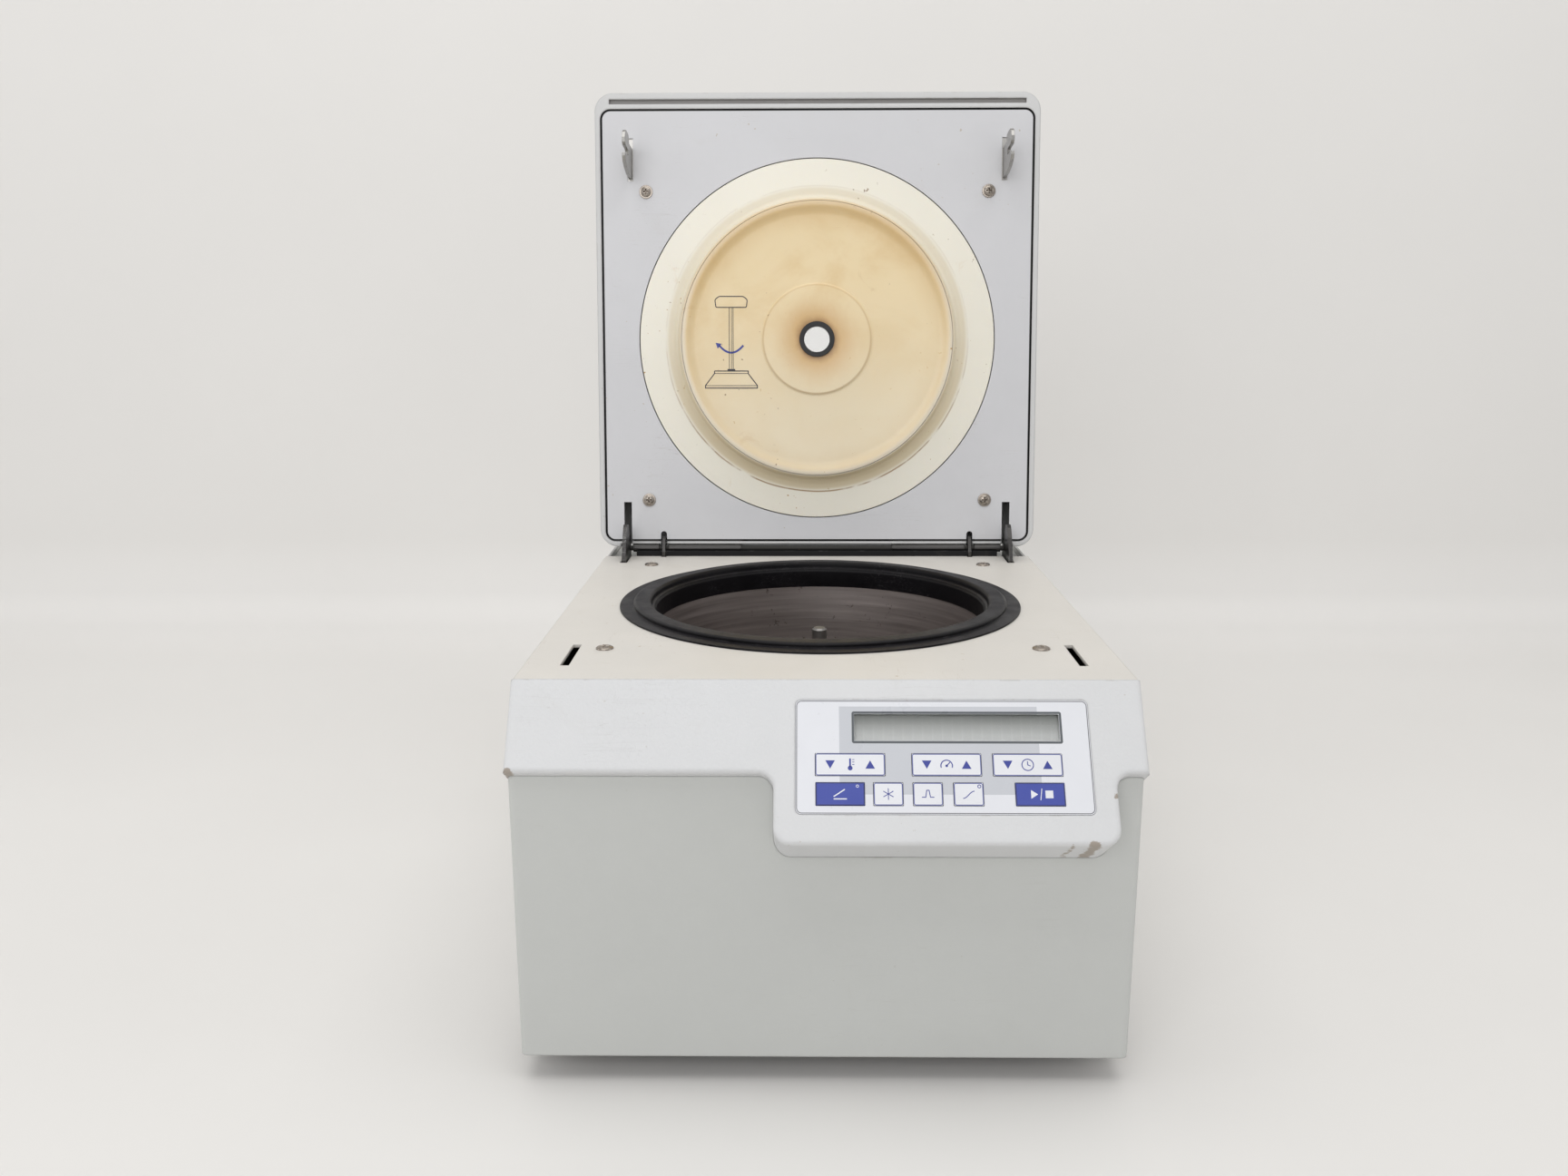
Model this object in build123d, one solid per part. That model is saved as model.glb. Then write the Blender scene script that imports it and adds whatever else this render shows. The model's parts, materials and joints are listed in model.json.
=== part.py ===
from build123d import *
from math import radians, sin, cos, tan, pi
import os

os.makedirs("parts", exist_ok=True)

# A bench-top refrigerated centrifuge with its lid standing open. Sizes in millimetres.
# X runs across the machine, Y to the back, Z up; the origin is under its middle, on the bench.

# casework
HALF_WIDTH = 167.5
FRONT_Y = -245.8
REAR_Y = 269.6
FLOOR_Z = 16.0
SHEET = 2.0
PLATE_TOP = 225.1
PLATE_FRONT = -221.5
PLATE_BACK = 121.1
DECK_TOP = 219.0

# sloping control hood
HOOD_TILT = 34.4
HOOD_TOP = (0.0, -222.7, 225.9)
HOOD_HALF = 168.3
HOOD_WALL = 3.0
HOOD_DEPTH = 38.0
HOOD_BACK = -217.2
WING_DROP = 51.0
TAB_LEFT = -27.0
TAB_RIGHT = 151.0
TAB_DROP = 88.3

# keypad, in across and down-slope distances on the hood's face
OVERLAY = ((-15.5, 138.5), (11.6, 72.5))
SCREEN = ((15.3, 123.0), (19.1, 33.8))
ROCKER_ROW = (40.4, 52.6)
BUTTON_ROW = (55.8, 68.2)
ROCKERS = {"temp_key": (-5.4, 31.2), "speed_key": (44.8, 81.2), "time_key": (86.8, 123.2)}
BUTTONS = {
    "open_key": (-5.2, 20.4),
    "fast_cool_key": (24.6, 40.2),
    "short_key": (45.0, 60.6),
    "soft_key": (65.9, 81.6),
    "start_stop_key": (97.7, 123.4),
}
KEY_GAP = 0.3
BOARD_DEPTH = 10.0

# rotor chamber and drive
CHAMBER_Y = -36.7
CHAMBER_R = 111.4
CHAMBER_FLOOR = 126.0
GASKET_R = 133.7
GASKET_TOP = 229.5
GASKET_LIP = 211.0
SHAFT_TOP = 207.0
SHAFT_R = 5.0

# lid, in its own across, depth and up distances, leaning back from the hinge
LID_FOOT = (0.0, 126.5, 231.9)
LID_LEAN = 7.0
LID_HALF = 172.1
LID_LENGTH = 350.5
LID_DEPTH = 48.0
LID_PLATE_HALF = 167.1
LID_PLATE = (5.1, 337.6)
LINER_UP = 162.3
LINER_R = 138.8
PORT_R = 10.0
PORT_FLARE = 16
HOOK_X = 145.0
HOOK_UP = (285.0, 315.5)
HINGE_UP = -1.3
HINGE_IN = 0.6
ROD_R = 2.0
HINGE_Y = LID_FOOT[1] + HINGE_UP * sin(radians(LID_LEAN)) + HINGE_IN * cos(radians(LID_LEAN))
HINGE_Z = LID_FOOT[2] + HINGE_UP * cos(radians(LID_LEAN)) - HINGE_IN * sin(radians(LID_LEAN))

# mains inlet and switch on the back
INLET_X = -120.0
INLET_Z = 60.0
SWITCH_Z = 100.0

SIDES = (-1, 1)


def block(x, y, z):
    """A box between the given low and high values on each axis."""
    size = (x[1] - x[0], y[1] - y[0], z[1] - z[0])
    return Pos((x[0] + x[1]) / 2, (y[0] + y[1]) / 2, (z[0] + z[1]) / 2) * Box(*size)


def sided(side, x, y, z):
    """A box given for the right-hand side, mirrored when side is -1."""
    ends = sorted((side * x[0], side * x[1]))
    return block(ends, y, z)


def rod_z(radius, z, x=0.0, y=0.0):
    """An upright cylinder between two heights."""
    return Pos(x, y, (z[0] + z[1]) / 2) * Cylinder(radius, z[1] - z[0])


def rod_y(radius, y, x=0.0, z=0.0):
    """A cylinder along the depth."""
    return Pos(x, (y[0] + y[1]) / 2, z) * Rot(90, 0, 0) * Cylinder(radius, y[1] - y[0])


def rod_x(radius, x, y=0.0, z=0.0):
    """A cylinder across the width."""
    return Pos((x[0] + x[1]) / 2, y, z) * Rot(0, 90, 0) * Cylinder(radius, x[1] - x[0])


def turned(profile, x=0.0, y=0.0):
    """A shape turned about an upright axis from (radius, height) corners."""
    outline = make_face(Plane.XZ * Polyline(*profile, close=True))
    return Pos(x, y, 0) * revolve(outline, Axis.Z)


def side_plate(profile, x):
    """A flat plate across X from (depth, height) corners."""
    outline = make_face(Plane.YZ * Polyline(*profile, close=True))
    return Pos(x[0], 0, 0) * extrude(outline, amount=x[1] - x[0], dir=(1, 0, 0))


def rounded(x, y, radius):
    """A flat rectangle with rounded corners."""
    centre = Pos((x[0] + x[1]) / 2, (y[0] + y[1]) / 2)
    return centre * RectangleRounded(x[1] - x[0], y[1] - y[0], radius)


def save(node, shape):
    """One file for each piece, with its solids kept apart."""
    export_step(Compound(children=[s for s in shape.solids()]), f"parts/{node}.step")


hood_face = Plane(
    origin=HOOD_TOP,
    x_dir=(1, 0, 0),
    z_dir=(0, cos(radians(HOOD_TILT)), -sin(radians(HOOD_TILT))),
)
lid_place = Location(LID_FOOT, (-LID_LEAN, 0, 0))


def on_hood(sketch, depth):
    """A flat shape on the hood's face carried inward between two depths."""
    return extrude(hood_face * (Pos(0, 0, depth[0]) * sketch), amount=depth[1] - depth[0])


def hood_block(x, down, depth):
    """A box in the hood's own across, down-slope and inward distances."""
    return on_hood(rounded(x, down, 0.4), depth)


def hood_outline(inset=0.0):
    """The hood's front: two wings and the deeper tab that carries the keypad."""
    wings = Pos(0, (WING_DROP - inset - 30) / 2) * Rectangle(
        2 * (HOOD_HALF - inset), WING_DROP - inset + 30
    )
    tab = (TAB_LEFT + inset, TAB_RIGHT - inset)
    low = TAB_DROP - inset
    outline = wings + Pos(sum(tab) / 2, low / 2) * Rectangle(tab[1] - tab[0], low)
    notches = ((tab[0], WING_DROP - inset, 8 + inset), (tab[1], WING_DROP - inset, 8 + inset))
    corners = ((tab[0], low, 9 - inset), (tab[1], low, 9 - inset))
    for x, down, radius in notches + corners:
        corner = outline.vertices().sort_by_distance(Vector(x, down, 0))[0]
        outline = fillet(corner, radius)
    above = Pos(0, -25) * Rectangle(400, 50 + 2 * inset)
    return outline - above


def casework():
    """The sheet-steel body: tray, wrap-round front, sides, back, top plate and rear deck."""
    width = (-HALF_WIDTH, HALF_WIDTH)
    hood_solid = on_hood(hood_outline(), (0, HOOD_DEPTH)) - block((-200, 200), (HOOD_BACK, 0), (0, 300))

    tray = block((-165.3, 165.3), (FRONT_Y + SHEET + 0.2, REAR_Y - SHEET - 0.2), (FLOOR_Z, 30))
    tray -= block((-163.8, 163.8), (FRONT_Y + 3.9, REAR_Y - 3.9), (FLOOR_Z + SHEET, 40))
    save("base_tray", tray)

    feet = [turned([(0, 0), (13, 0), (14, 1), (14, 16), (0, 16)], x, y)
            for x in (-130, 130) for y in (-190, 215)]
    save("feet", Compound(children=feet))

    front = block(width, (FRONT_Y, -228), (FLOOR_Z, 184))
    corners = front.edges().filter_by(Axis.Z).group_by(Axis.Y)[0]
    front = fillet(corners, 4)
    front -= block((-165.5, 165.5), (FRONT_Y + SHEET, -200), (0, 200))
    save("front_panel", front - hood_solid)

    for side, name in zip(SIDES, ("left_side_panel", "right_side_panel")):
        panel = sided(side, (165.5, HALF_WIDTH), (-227.8, REAR_Y - 0.2), (FLOOR_Z, PLATE_TOP - 2.1))
        for row in range(9):
            z = 52 + 12 * row
            panel -= sided(side, (160, 175), (150, 245), (z, z + 4))
        panel -= sided(side, (160, 175), (-230, HOOD_BACK + 0.1), (190, 230))
        save(name, panel - hood_solid)

    back = block((-165.3, 165.3), (REAR_Y - SHEET, REAR_Y), (FLOOR_Z, DECK_TOP - 1.6))
    for row in range(11):
        z = 62 + 10 * row
        half = (58 ** 2 - (z + 2 - 114) ** 2) ** 0.5
        back -= block((70 - half, 70 + half), (200, 300), (z, z + 4))
    back -= block((INLET_X - 15.2, INLET_X + 15.2), (200, 300), (INLET_Z - 11.7, INLET_Z + 11.7))
    back -= block((INLET_X - 10.2, INLET_X + 10.2), (200, 300), (SWITCH_Z - 14.2, SWITCH_Z + 14.2))
    for x in (-150, 150):
        for z in (38, 205):
            back -= rod_y(1.7, (250, 300), x, z)
    save("rear_panel", back)
    screws = [turned([(0, 0), (1.6, 0), (1.6, 9), (3.4, 9), (3.2, 10), (2.2, 10.8), (0, 11)])
              for _ in range(4)]
    placed = []
    for screw, (x, z) in zip(screws, [(x, z) for x in (-150, 150) for z in (38, 205)]):
        placed.append(Pos(x, REAR_Y - 9, z) * Rot(-90, 0, 0) * screw)
    save("panel_screws", Compound(children=placed))

    plate = block((-167.4, 167.4), (PLATE_FRONT, PLATE_BACK), (PLATE_TOP - SHEET, PLATE_TOP))
    plate -= rod_z(113.6, (200, 240), 0, CHAMBER_Y)
    for side in SIDES:
        plate -= sided(side, (142, 147), (-193.6, -149), (200, 240))
        plate -= sided(side, (147.4, 152.6), (94.6, 130), (200, 240))
        plate -= sided(side, (119.2, 123.2), (118, 130), (200, 240))
        for y in (-157.8, 86.2):
            plate -= rod_z(2.1, (200, 240), side * 127.2, y)
    save("top_plate", plate)
    head = [(0, -9), (2, -9), (2, 0), (5.2, 0), (5.2, 0.4), (4.2, 1.3), (2.4, 1.8), (0, 2)]
    heads = [Pos(side * 127.2, y, PLATE_TOP) * turned(head) for side in SIDES for y in (-157.8, 86.2)]
    save("top_plate_screws", Compound(children=heads))

    deck = block((-HALF_WIDTH, HALF_WIDTH), (123, REAR_Y), (DECK_TOP - 1.5, DECK_TOP))
    for side in SIDES:
        deck -= sided(side, (147.4, 152.6), (120, 135), (200, 240))
        deck -= sided(side, (165.4, 170), (120, REAR_Y - 0.2), (200, 240))
    save("rear_deck", deck)

    hood_solid = fillet_front(on_hood(hood_outline(), (0, HOOD_DEPTH)), 2.5)
    hood = hood_solid - on_hood(hood_outline(HOOD_WALL), (HOOD_WALL, 60))
    hood -= block((-200, 200), (HOOD_BACK, 0), (0, 300))
    hood -= block((-200, 200), (PLATE_FRONT - 0.15, 0), (PLATE_TOP - SHEET - 0.15, 300))
    hood -= block((-165.6, 165.6), (FRONT_Y + SHEET, 0), (0, 184))
    hood -= on_hood(rounded((OVERLAY[0][0] - 0.2, OVERLAY[0][1] + 0.2),
                            (OVERLAY[1][0] - 0.2, OVERLAY[1][1] + 0.2), 3.2), (-2, 0.8))
    hood -= hood_block((SCREEN[0][0] - 0.8, SCREEN[0][1] + 0.8),
                       (SCREEN[1][0] - 0.8, SCREEN[1][1] + 0.8), (0, 12))
    for across, down in key_places():
        hood -= hood_block((across[0] - 0.4, across[1] + 0.4), (down[0] - 0.4, down[1] + 0.4), (0, 12))
    save("control_hood", hood)


def fillet_front(solid, radius):
    """Rounds the rim of the hood's sloping face."""
    normal = Vector(*hood_face.z_dir)
    rim = [e for e in solid.edges() if abs((e @ 0.5 - Vector(*HOOD_TOP)).dot(normal)) < 0.01]
    rim = [e for e in rim if (e @ 0.5).Z < HOOD_TOP[2] - 1]
    return fillet(rim, radius)


def key_places():
    """Every key's across and down-slope extent."""
    rockers = [(across, ROCKER_ROW) for across in ROCKERS.values()]
    return rockers + [(across, BUTTON_ROW) for across in BUTTONS.values()]


def keypad():
    """Membrane sheet, keys with their stems, screen, and the board behind them."""
    sheet = on_hood(rounded(*OVERLAY, 3), (-0.2, 0.7))
    sheet -= hood_block(*SCREEN, (-2, 3))
    for across, down in key_places():
        sheet -= hood_block(across, down, (-2, 3))
    save("keypad_overlay", sheet)

    for name, across in ROCKERS.items():
        key = hood_block((across[0] + KEY_GAP, across[1] - KEY_GAP),
                         (ROCKER_ROW[0] + KEY_GAP, ROCKER_ROW[1] - KEY_GAP), (-0.5, 1.6))
        for x in (across[0] + 8, across[1] - 8):
            key += on_hood(Pos(x, sum(ROCKER_ROW) / 2) * Circle(2), (1.5, BOARD_DEPTH - 0.7))
        save(name, key)
    for name, across in BUTTONS.items():
        key = hood_block((across[0] + KEY_GAP, across[1] - KEY_GAP),
                         (BUTTON_ROW[0] + KEY_GAP, BUTTON_ROW[1] - KEY_GAP), (-0.5, 1.6))
        key += on_hood(Pos(sum(across) / 2, sum(BUTTON_ROW) / 2) * Circle(2), (1.5, BOARD_DEPTH - 0.7))
        save(name, key)

    save("display_window", hood_block((SCREEN[0][0] - 0.6, SCREEN[0][1] + 0.6),
                                      (SCREEN[1][0] - 0.6, SCREEN[1][1] + 0.6), (1.4, 2.8)))
    save("display_module", hood_block((12, 127), (16, 37), (3.2, BOARD_DEPTH)))
    save("control_board", hood_block((-14, 137), (13, 72), (BOARD_DEPTH, BOARD_DEPTH + 1.6)))


def chamber():
    """Bowl, its rubber rim, the evaporator wound round it and the foam outside."""
    r = CHAMBER_R
    low = CHAMBER_FLOOR
    bowl = turned([
        (r, 221.6), (r, low + 16), (r - 5, low + 5), (r - 16, low), (26, low - 2), (26, low - 3.2),
        (r - 15.4, low - 1.2), (r - 4.2, low + 4.2), (r + 1.2, low + 15.6), (r + 1.2, 220.4),
        (124, 220.4), (124, 222.9), (r, 222.9),
    ], 0, CHAMBER_Y)
    save("chamber_bowl", bowl)
    save("bowl_gasket", turned([
        (r - 0.1, 222.95), (r - 0.1, GASKET_LIP), (109.4, GASKET_LIP), (109.4, 223.2), (110.4, 224.4),
        (112.2, 227.2), (113.2, GASKET_TOP), (123.4, GASKET_TOP), (124.4, 228.4), (125.2, 226.9), (GASKET_R - 1, 226.9),
        (GASKET_R, 226.2), (GASKET_R, PLATE_TOP), (113.4, PLATE_TOP), (113.4, 222.95),
    ], 0, CHAMBER_Y))
    coil = sweep(
        Plane(origin=(r + 4.6, 0, 140), z_dir=(0, 1, 0.02)) * Circle(3.2),
        path=Helix(pitch=12, height=72, radius=r + 4.6, center=(0, 0, 140)),
    )
    save("evaporator_coil", Pos(0, CHAMBER_Y, 0) * coil)
    save("bowl_insulation", turned([
        (r + 8.4, 219.8), (r + 8.4, 119), (60, 119), (60, 112.6), (150, 112.6), (150, 219.8),
    ], 0, CHAMBER_Y))


def drive():
    """Induction motor under the bowl and the upright shaft that carries the rotor."""
    y = CHAMBER_Y
    housing = turned([(40, 36), (52, 36), (52, 106), (60, 106), (60, 111), (24, 111), (24, 116),
                      (18.1, 116), (18.1, 104), (46, 104), (46, 44), (18.1, 44), (18.1, 36)], 0, y)
    save("motor_housing", housing)
    bearing = [(7.05, 0), (18.1, 0), (18.1, 10), (7.05, 10)]
    bearings = [Pos(0, 0, z) * turned(bearing, 0, y) for z in (36, 104.2)]
    save("motor_bearings", Compound(children=bearings))
    mounts = []
    for turn in range(3):
        angle = radians(90 + 120 * turn)
        x_at, y_at = 46 * cos(angle), y + 46 * sin(angle)
        mounts.append(turned([(0, 18), (9, 18), (7, 27), (9, 36), (0, 36)], x_at, y_at))
    save("motor_mounts", Compound(children=mounts))

    save("drive_shaft", turned([
        (0, 33), (7, 33), (7, 50), (8, 50), (8, 102), (7, 102), (7, 118), (16, 118), (16, 124),
        (14, 128), (11, 146), (8.5, 150), (8.5, 176), (6.5, 182), (SHAFT_R, 184), (SHAFT_R, SHAFT_TOP - 1.2),
        (SHAFT_R - 1.2, SHAFT_TOP), (0, SHAFT_TOP),
    ], 0, y))
    save("motor_rotor", turned([(8, 54), (36, 54), (36, 98), (8, 98)], 0, y))


def cooling():
    """Compressor, condenser with its fan, and the pipe between them."""
    shell = turned([(0, 34), (40, 34), (52, 44), (56, 60), (56, 62), (58, 62), (58, 66), (56, 66),
                    (56, 120), (48, 142), (30, 152), (0, 155)], -90, 186)
    shell += block((-152, -28), (131, 242), (30, 34)) & rod_z(74, (30, 34), -90, 186)
    save("compressor", shell)
    pads = [turned([(0, 18), (9, 18), (7, 24), (9, 30), (0, 30)], x, y)
            for x in (-137, -43) for y in (158, 214)]
    save("compressor_mounts", Compound(children=pads))

    fins = block((6, 134), (244, 264), (50, 54)) + block((6, 134), (244, 264), (174, 178))
    for number in range(22):
        x = 8 + 5.7 * number
        fins += block((x, x + 1.2), (245, 263), (50, 178))
    for row in range(7):
        fins += rod_x(3.2, (4, 136), 254, 66 + 16 * row)
    save("condenser", fins)

    shroud = block((4, 136), (206, 243.6), (48, 180))
    shroud -= rod_y(61, (200, 241), 70, 114)
    shroud -= block((7, 133), (232, 250), (51, 177))
    shroud += block((4, 136), (206, 209), (111, 117)) + block((67, 73), (206, 209), (48, 180))
    shroud -= rod_y(3.05, (200, 212), 70, 114)
    save("fan_shroud", shroud)
    fan_motor = rod_y(18, (178, 206), 70, 114) + rod_y(24, (188, 196), 70, 114)
    save("fan_motor", fan_motor + rod_y(3, (200, 225), 70, 114))
    hub = rod_y(17, (212, 230), 70, 114)
    for number in range(7):
        blade = Pos(0, 0, 37) * Rot(0, 0, 38) * Box(22, 2.4, 44)
        hub += Pos(70, 221, 114) * Rot(0, number * 360 / 7, 0) * blade
    hub -= rod_y(3.05, (205, 226), 70, 114)
    save("fan_rotor", hub)

    start = (-60, 186, 152.6)
    route = FilletPolyline(start, (-60, 186, 190), (100, 186, 190), (100, 254, 190), (100, 254, 179.5),
                           radius=9)
    pipe = sweep(Plane(origin=start, z_dir=(0, 0, 1)) * Circle(3), path=route)
    save("discharge_pipe", pipe)


def electrics():
    """Power module, mains inlet and switch at the back."""
    module = block((-158, -84), (-200, -70), (22, 28)) + block((-158, -84), (-200, -70), (28, 60))
    for number in range(9):
        module += block((-155 + 8 * number, -152 + 8 * number), (-198, -72), (60, 84))
    save("power_module", module)

    inlet = block((INLET_X - 24, INLET_X + 24), (REAR_Y, REAR_Y + SHEET), (INLET_Z - 14, INLET_Z + 14))
    inlet += block((INLET_X - 15, INLET_X + 15), (248, REAR_Y + 1), (INLET_Z - 11.5, INLET_Z + 11.5))
    inlet -= block((INLET_X - 12.3, INLET_X + 12.3), (251, 280), (INLET_Z - 8.6, INLET_Z + 8.6))
    save("power_inlet", inlet)
    pins = [block((INLET_X + 7 * n - 1, INLET_X + 7 * n + 1), (251, 266), (INLET_Z - 2, INLET_Z + 2))
            for n in (-1, 0, 1)]
    save("inlet_pins", Compound(children=pins))

    frame = block((INLET_X - 12, INLET_X + 12), (REAR_Y, REAR_Y + 1.8), (SWITCH_Z - 16, SWITCH_Z + 16))
    frame += block((INLET_X - 10, INLET_X + 10), (252, REAR_Y + 1), (SWITCH_Z - 14, SWITCH_Z + 14))
    frame -= block((INLET_X - 8, INLET_X + 8), (254, 280), (SWITCH_Z - 13, SWITCH_Z + 13))
    frame += rod_x(1.5, (INLET_X - 8.2, INLET_X + 8.2), 261, SWITCH_Z)
    save("switch_frame", frame)
    rocker = side_plate([(257, -9), (257, 9), (266.2, 11.2), (267.2, 0), (270.6, -10.6), (265, -10.8)],
                        (INLET_X - 7.6, INLET_X + 7.6))
    rocker = Pos(0, 0, SWITCH_Z) * rocker
    save("switch_rocker", rocker - rod_x(1.55, (INLET_X - 9, INLET_X + 9), 261, SWITCH_Z))


def latch():
    """Lid lock: a sprung cross slide with two bolts, its guides and its solenoid."""
    guides = []
    for side in SIDES:
        guide = sided(side, (136, 154), (-203, -196), (203, 222.8))
        guide -= sided(side, (140.6, 149.4), (-210, -190), (215.9, 221.5))
        guides.append(guide)
    save("latch_housings", Compound(children=guides))
    slide = block((-149, 149), (-217, -214), (206, 221.2)) - block((-134, 134), (-220, -210), (214, 225))
    for side in SIDES:
        slide += sided(side, (141, 149), (-216, -194.8), (216.2, 221.2))
    slide += rod_y(3.6, (-216, -186), -105, 210)
    save("latch_slide", slide)
    coil = block((-119, -91), (-197, -160), (198, 222.6)) - rod_y(3.9, (-200, -170), -105, 210)
    save("latch_solenoid", coil)


def hinge():
    """Body side of the hinge: black channel, side plates and the rod they carry."""
    channel = block((-143, 143), (121.2, 122.6), (DECK_TOP, 229.4))
    channel += block((-143, 143), (122, 168), (DECK_TOP, DECK_TOP + 1.4))
    for side in SIDES:
        channel -= sided(side, (119.4, 123), (110, 135), (200, 240))
    save("hinge_channel", channel)
    outer = [(95.4, 198), (95.4, 227), (104, 243), (109, 250), (113, 252), (118, 251),
             (128, 240), (131.5, 234), (131.5, 198)]
    inner = [(119, 219.2), (119, 229), (123, 238.6), (126, 240.2), (129, 239), (130.4, 236), (130.4, 219.2)]
    bore = rod_x(ROD_R, (-200, 200), HINGE_Y, HINGE_Z)
    plates = [side_plate(outer, sorted((side * 148.5, side * 151.5))) - bore for side in SIDES]
    save("outer_hinge_brackets", Compound(children=plates))
    plates = [side_plate(inner, sorted((side * 120, side * 122.4))) - bore for side in SIDES]
    save("inner_hinge_plates", Compound(children=plates))
    save("hinge_rod", rod_x(ROD_R, (-153, 153), HINGE_Y, HINGE_Z))


def lid():
    """Shell, inner plate, dished liner with its viewing port, foam, hooks and hinge leaves."""
    def place(node, shape):
        save(node, lid_place * shape)

    def upright(sketch, depth):
        return Pos(0, depth[0], 0) * extrude(Plane.XZ * sketch, amount=-(depth[1] - depth[0]))

    axis = (HINGE_IN, HINGE_UP)
    hinge_cut = rod_x(3.5, (-156, 156), *axis)
    shell = upright(rounded((-LID_HALF, LID_HALF), (0, LID_LENGTH), 14), (0, LID_DEPTH))
    back_rim = [e for e in shell.edges() if abs((e @ 0.5).Y - LID_DEPTH) < 0.01]
    shell = fillet(back_rim, 10)
    shell -= upright(rounded((-168.1, 168.1), (4.1, 338.6), 8), (-1, LID_DEPTH - 3))
    shell -= block((-161, 161), (-1, 3), (342.2, 345.8))
    for side in SIDES:
        for up in (37, 276):
            shell += rod_y(5, (1.5, LID_DEPTH - 2), side * 133, up)
            shell -= rod_y(2.05, (-1, 16), side * 133, up)
        shell -= sided(side, (147, 153), (-1, 34), (-1, 6))
        shell -= sided(side, (119.2, 123.9), (-1, 14), (-1, 6))
        shell -= sided(side, (125.2, 146.3), (1.5, 3.7), (-1, 6))
        shell -= sided(side, (59.7, 117.8), (1.5, 3.7), (-1, 6))
    shell -= rod_y(PORT_FLARE + 2.2, (0, 60), 0, LINER_UP)
    place("lid_shell", shell - hinge_cut)

    plate = upright(rounded((-LID_PLATE_HALF, LID_PLATE_HALF), LID_PLATE, 7), (0, 1.5))
    plate -= rod_y(LINER_R + 0.6, (-5, 5), 0, LINER_UP)
    for side in SIDES:
        plate -= sided(side, (147, 153), (-1, 5), (0, 35.3))
        plate -= sided(side, (119.2, 123.9), (-1, 5), (0, 9.8))
        plate -= rod_y(2.35, (-5, 5), side * 121.55, 9.8)
        plate -= sided(side, (HOOK_X - 2.2, HOOK_X + 2.2), (-1, 5), (HOOK_UP[0] - 1, HOOK_UP[1] + 1))
        for up in (37, 276):
            plate -= rod_y(2.1, (-5, 5), side * 133, up)
    place("lid_inner_plate", plate)

    def about_port(profile):
        face = make_face(Plane.XY * Polyline(*profile, close=True))
        return Pos(0, 0, LINER_UP) * revolve(face, Axis.Y)

    place("lid_liner", about_port([
        (LINER_R, 0), (112, 0), (109.2, -1.4), (106.9, -7.4), (105.4, -8.6), (102, -8.6), (98, -7.2),
        (44, -5.8), (41.6, -7), (12.4, -7), (12.4, -4.6), (40.6, -4.6), (43, -3.4), (98, -4.8),
        (102, -6.2), (104.4, -6.2), (106.4, 2), (LINER_R, 2),
    ]))
    place("lid_insulation", about_port([(19, 3.4), (118, 3.4), (118, 44.6), (19, 44.6)]))
    place("port_grommet", about_port([
        (PORT_R, -8.2), (13.7, -8.2), (13.7, -7.1), (12.2, -7.1), (12.2, -1.5),
        (PORT_FLARE + 1.8, 47.6), (PORT_FLARE, 47.6), (PORT_R, -1),
    ]))
    place("port_window", about_port([(0, -4.5), (PORT_R - 0.1, -4.5), (PORT_R - 0.1, -1.5), (0, -1.5)]))

    hook = [(1.7, 286), (-15, 286), (-28, 288.5), (-36, 292), (-38.4, 295), (-38, 297.2), (-35.5, 298),
            (-22, 298.2), (-19.4, 300), (-20, 302.2), (-23, 303), (-35, 303.2), (-38, 305), (-38.6, 308.5),
            (-37, 312.5), (-32, 315), (-22, 315), (-17, 314), (-15.5, 311.5), (-15, 309), (1.7, 309)]
    hooks = []
    for side in SIDES:
        x = sorted((side * (HOOK_X - 1.25), side * (HOOK_X + 1.25)))
        foot = sided(side, (HOOK_X - 7, HOOK_X + 7), (1.6, 4.1), (281, 320))
        hooks.append(side_plate(hook, x) + foot)
    place("lid_hooks", Compound(children=hooks))

    screw = [(0, 14), (2, 14), (2, 0), (6.4, 0), (6.4, -0.7), (4.6, -0.7), (4.4, -1.7), (3, -2.2), (0, -2.35)]
    screws = []
    for side in SIDES:
        for up in (37, 276):
            face = make_face(Plane.XY * Polyline(*screw, close=True))
            screws.append(Pos(side * 133, 0, up) * revolve(face, Axis.Y))
    place("lid_screws", Compound(children=screws))

    leaves = []
    for side in SIDES:
        for across in ((125.5, 146), (60, 117.5)):
            x = sorted((side * across[0], side * across[1]))
            leaf = rod_x(3.0, x, *axis) + block(x, (1.7, 3.3), (0, 24))
            leaves.append(leaf - rod_x(ROD_R + 0.05, (x[0] - 1, x[1] + 1), *axis))
    place("lid_hinge_leaves", Compound(children=leaves))


casework()
keypad()
chamber()
drive()
cooling()
electrics()
latch()
hinge()
lid()
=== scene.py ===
import json
from math import cos, pi, radians, sin

import bmesh
import bpy
import numpy as np
from mathutils import Matrix, Vector


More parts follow.
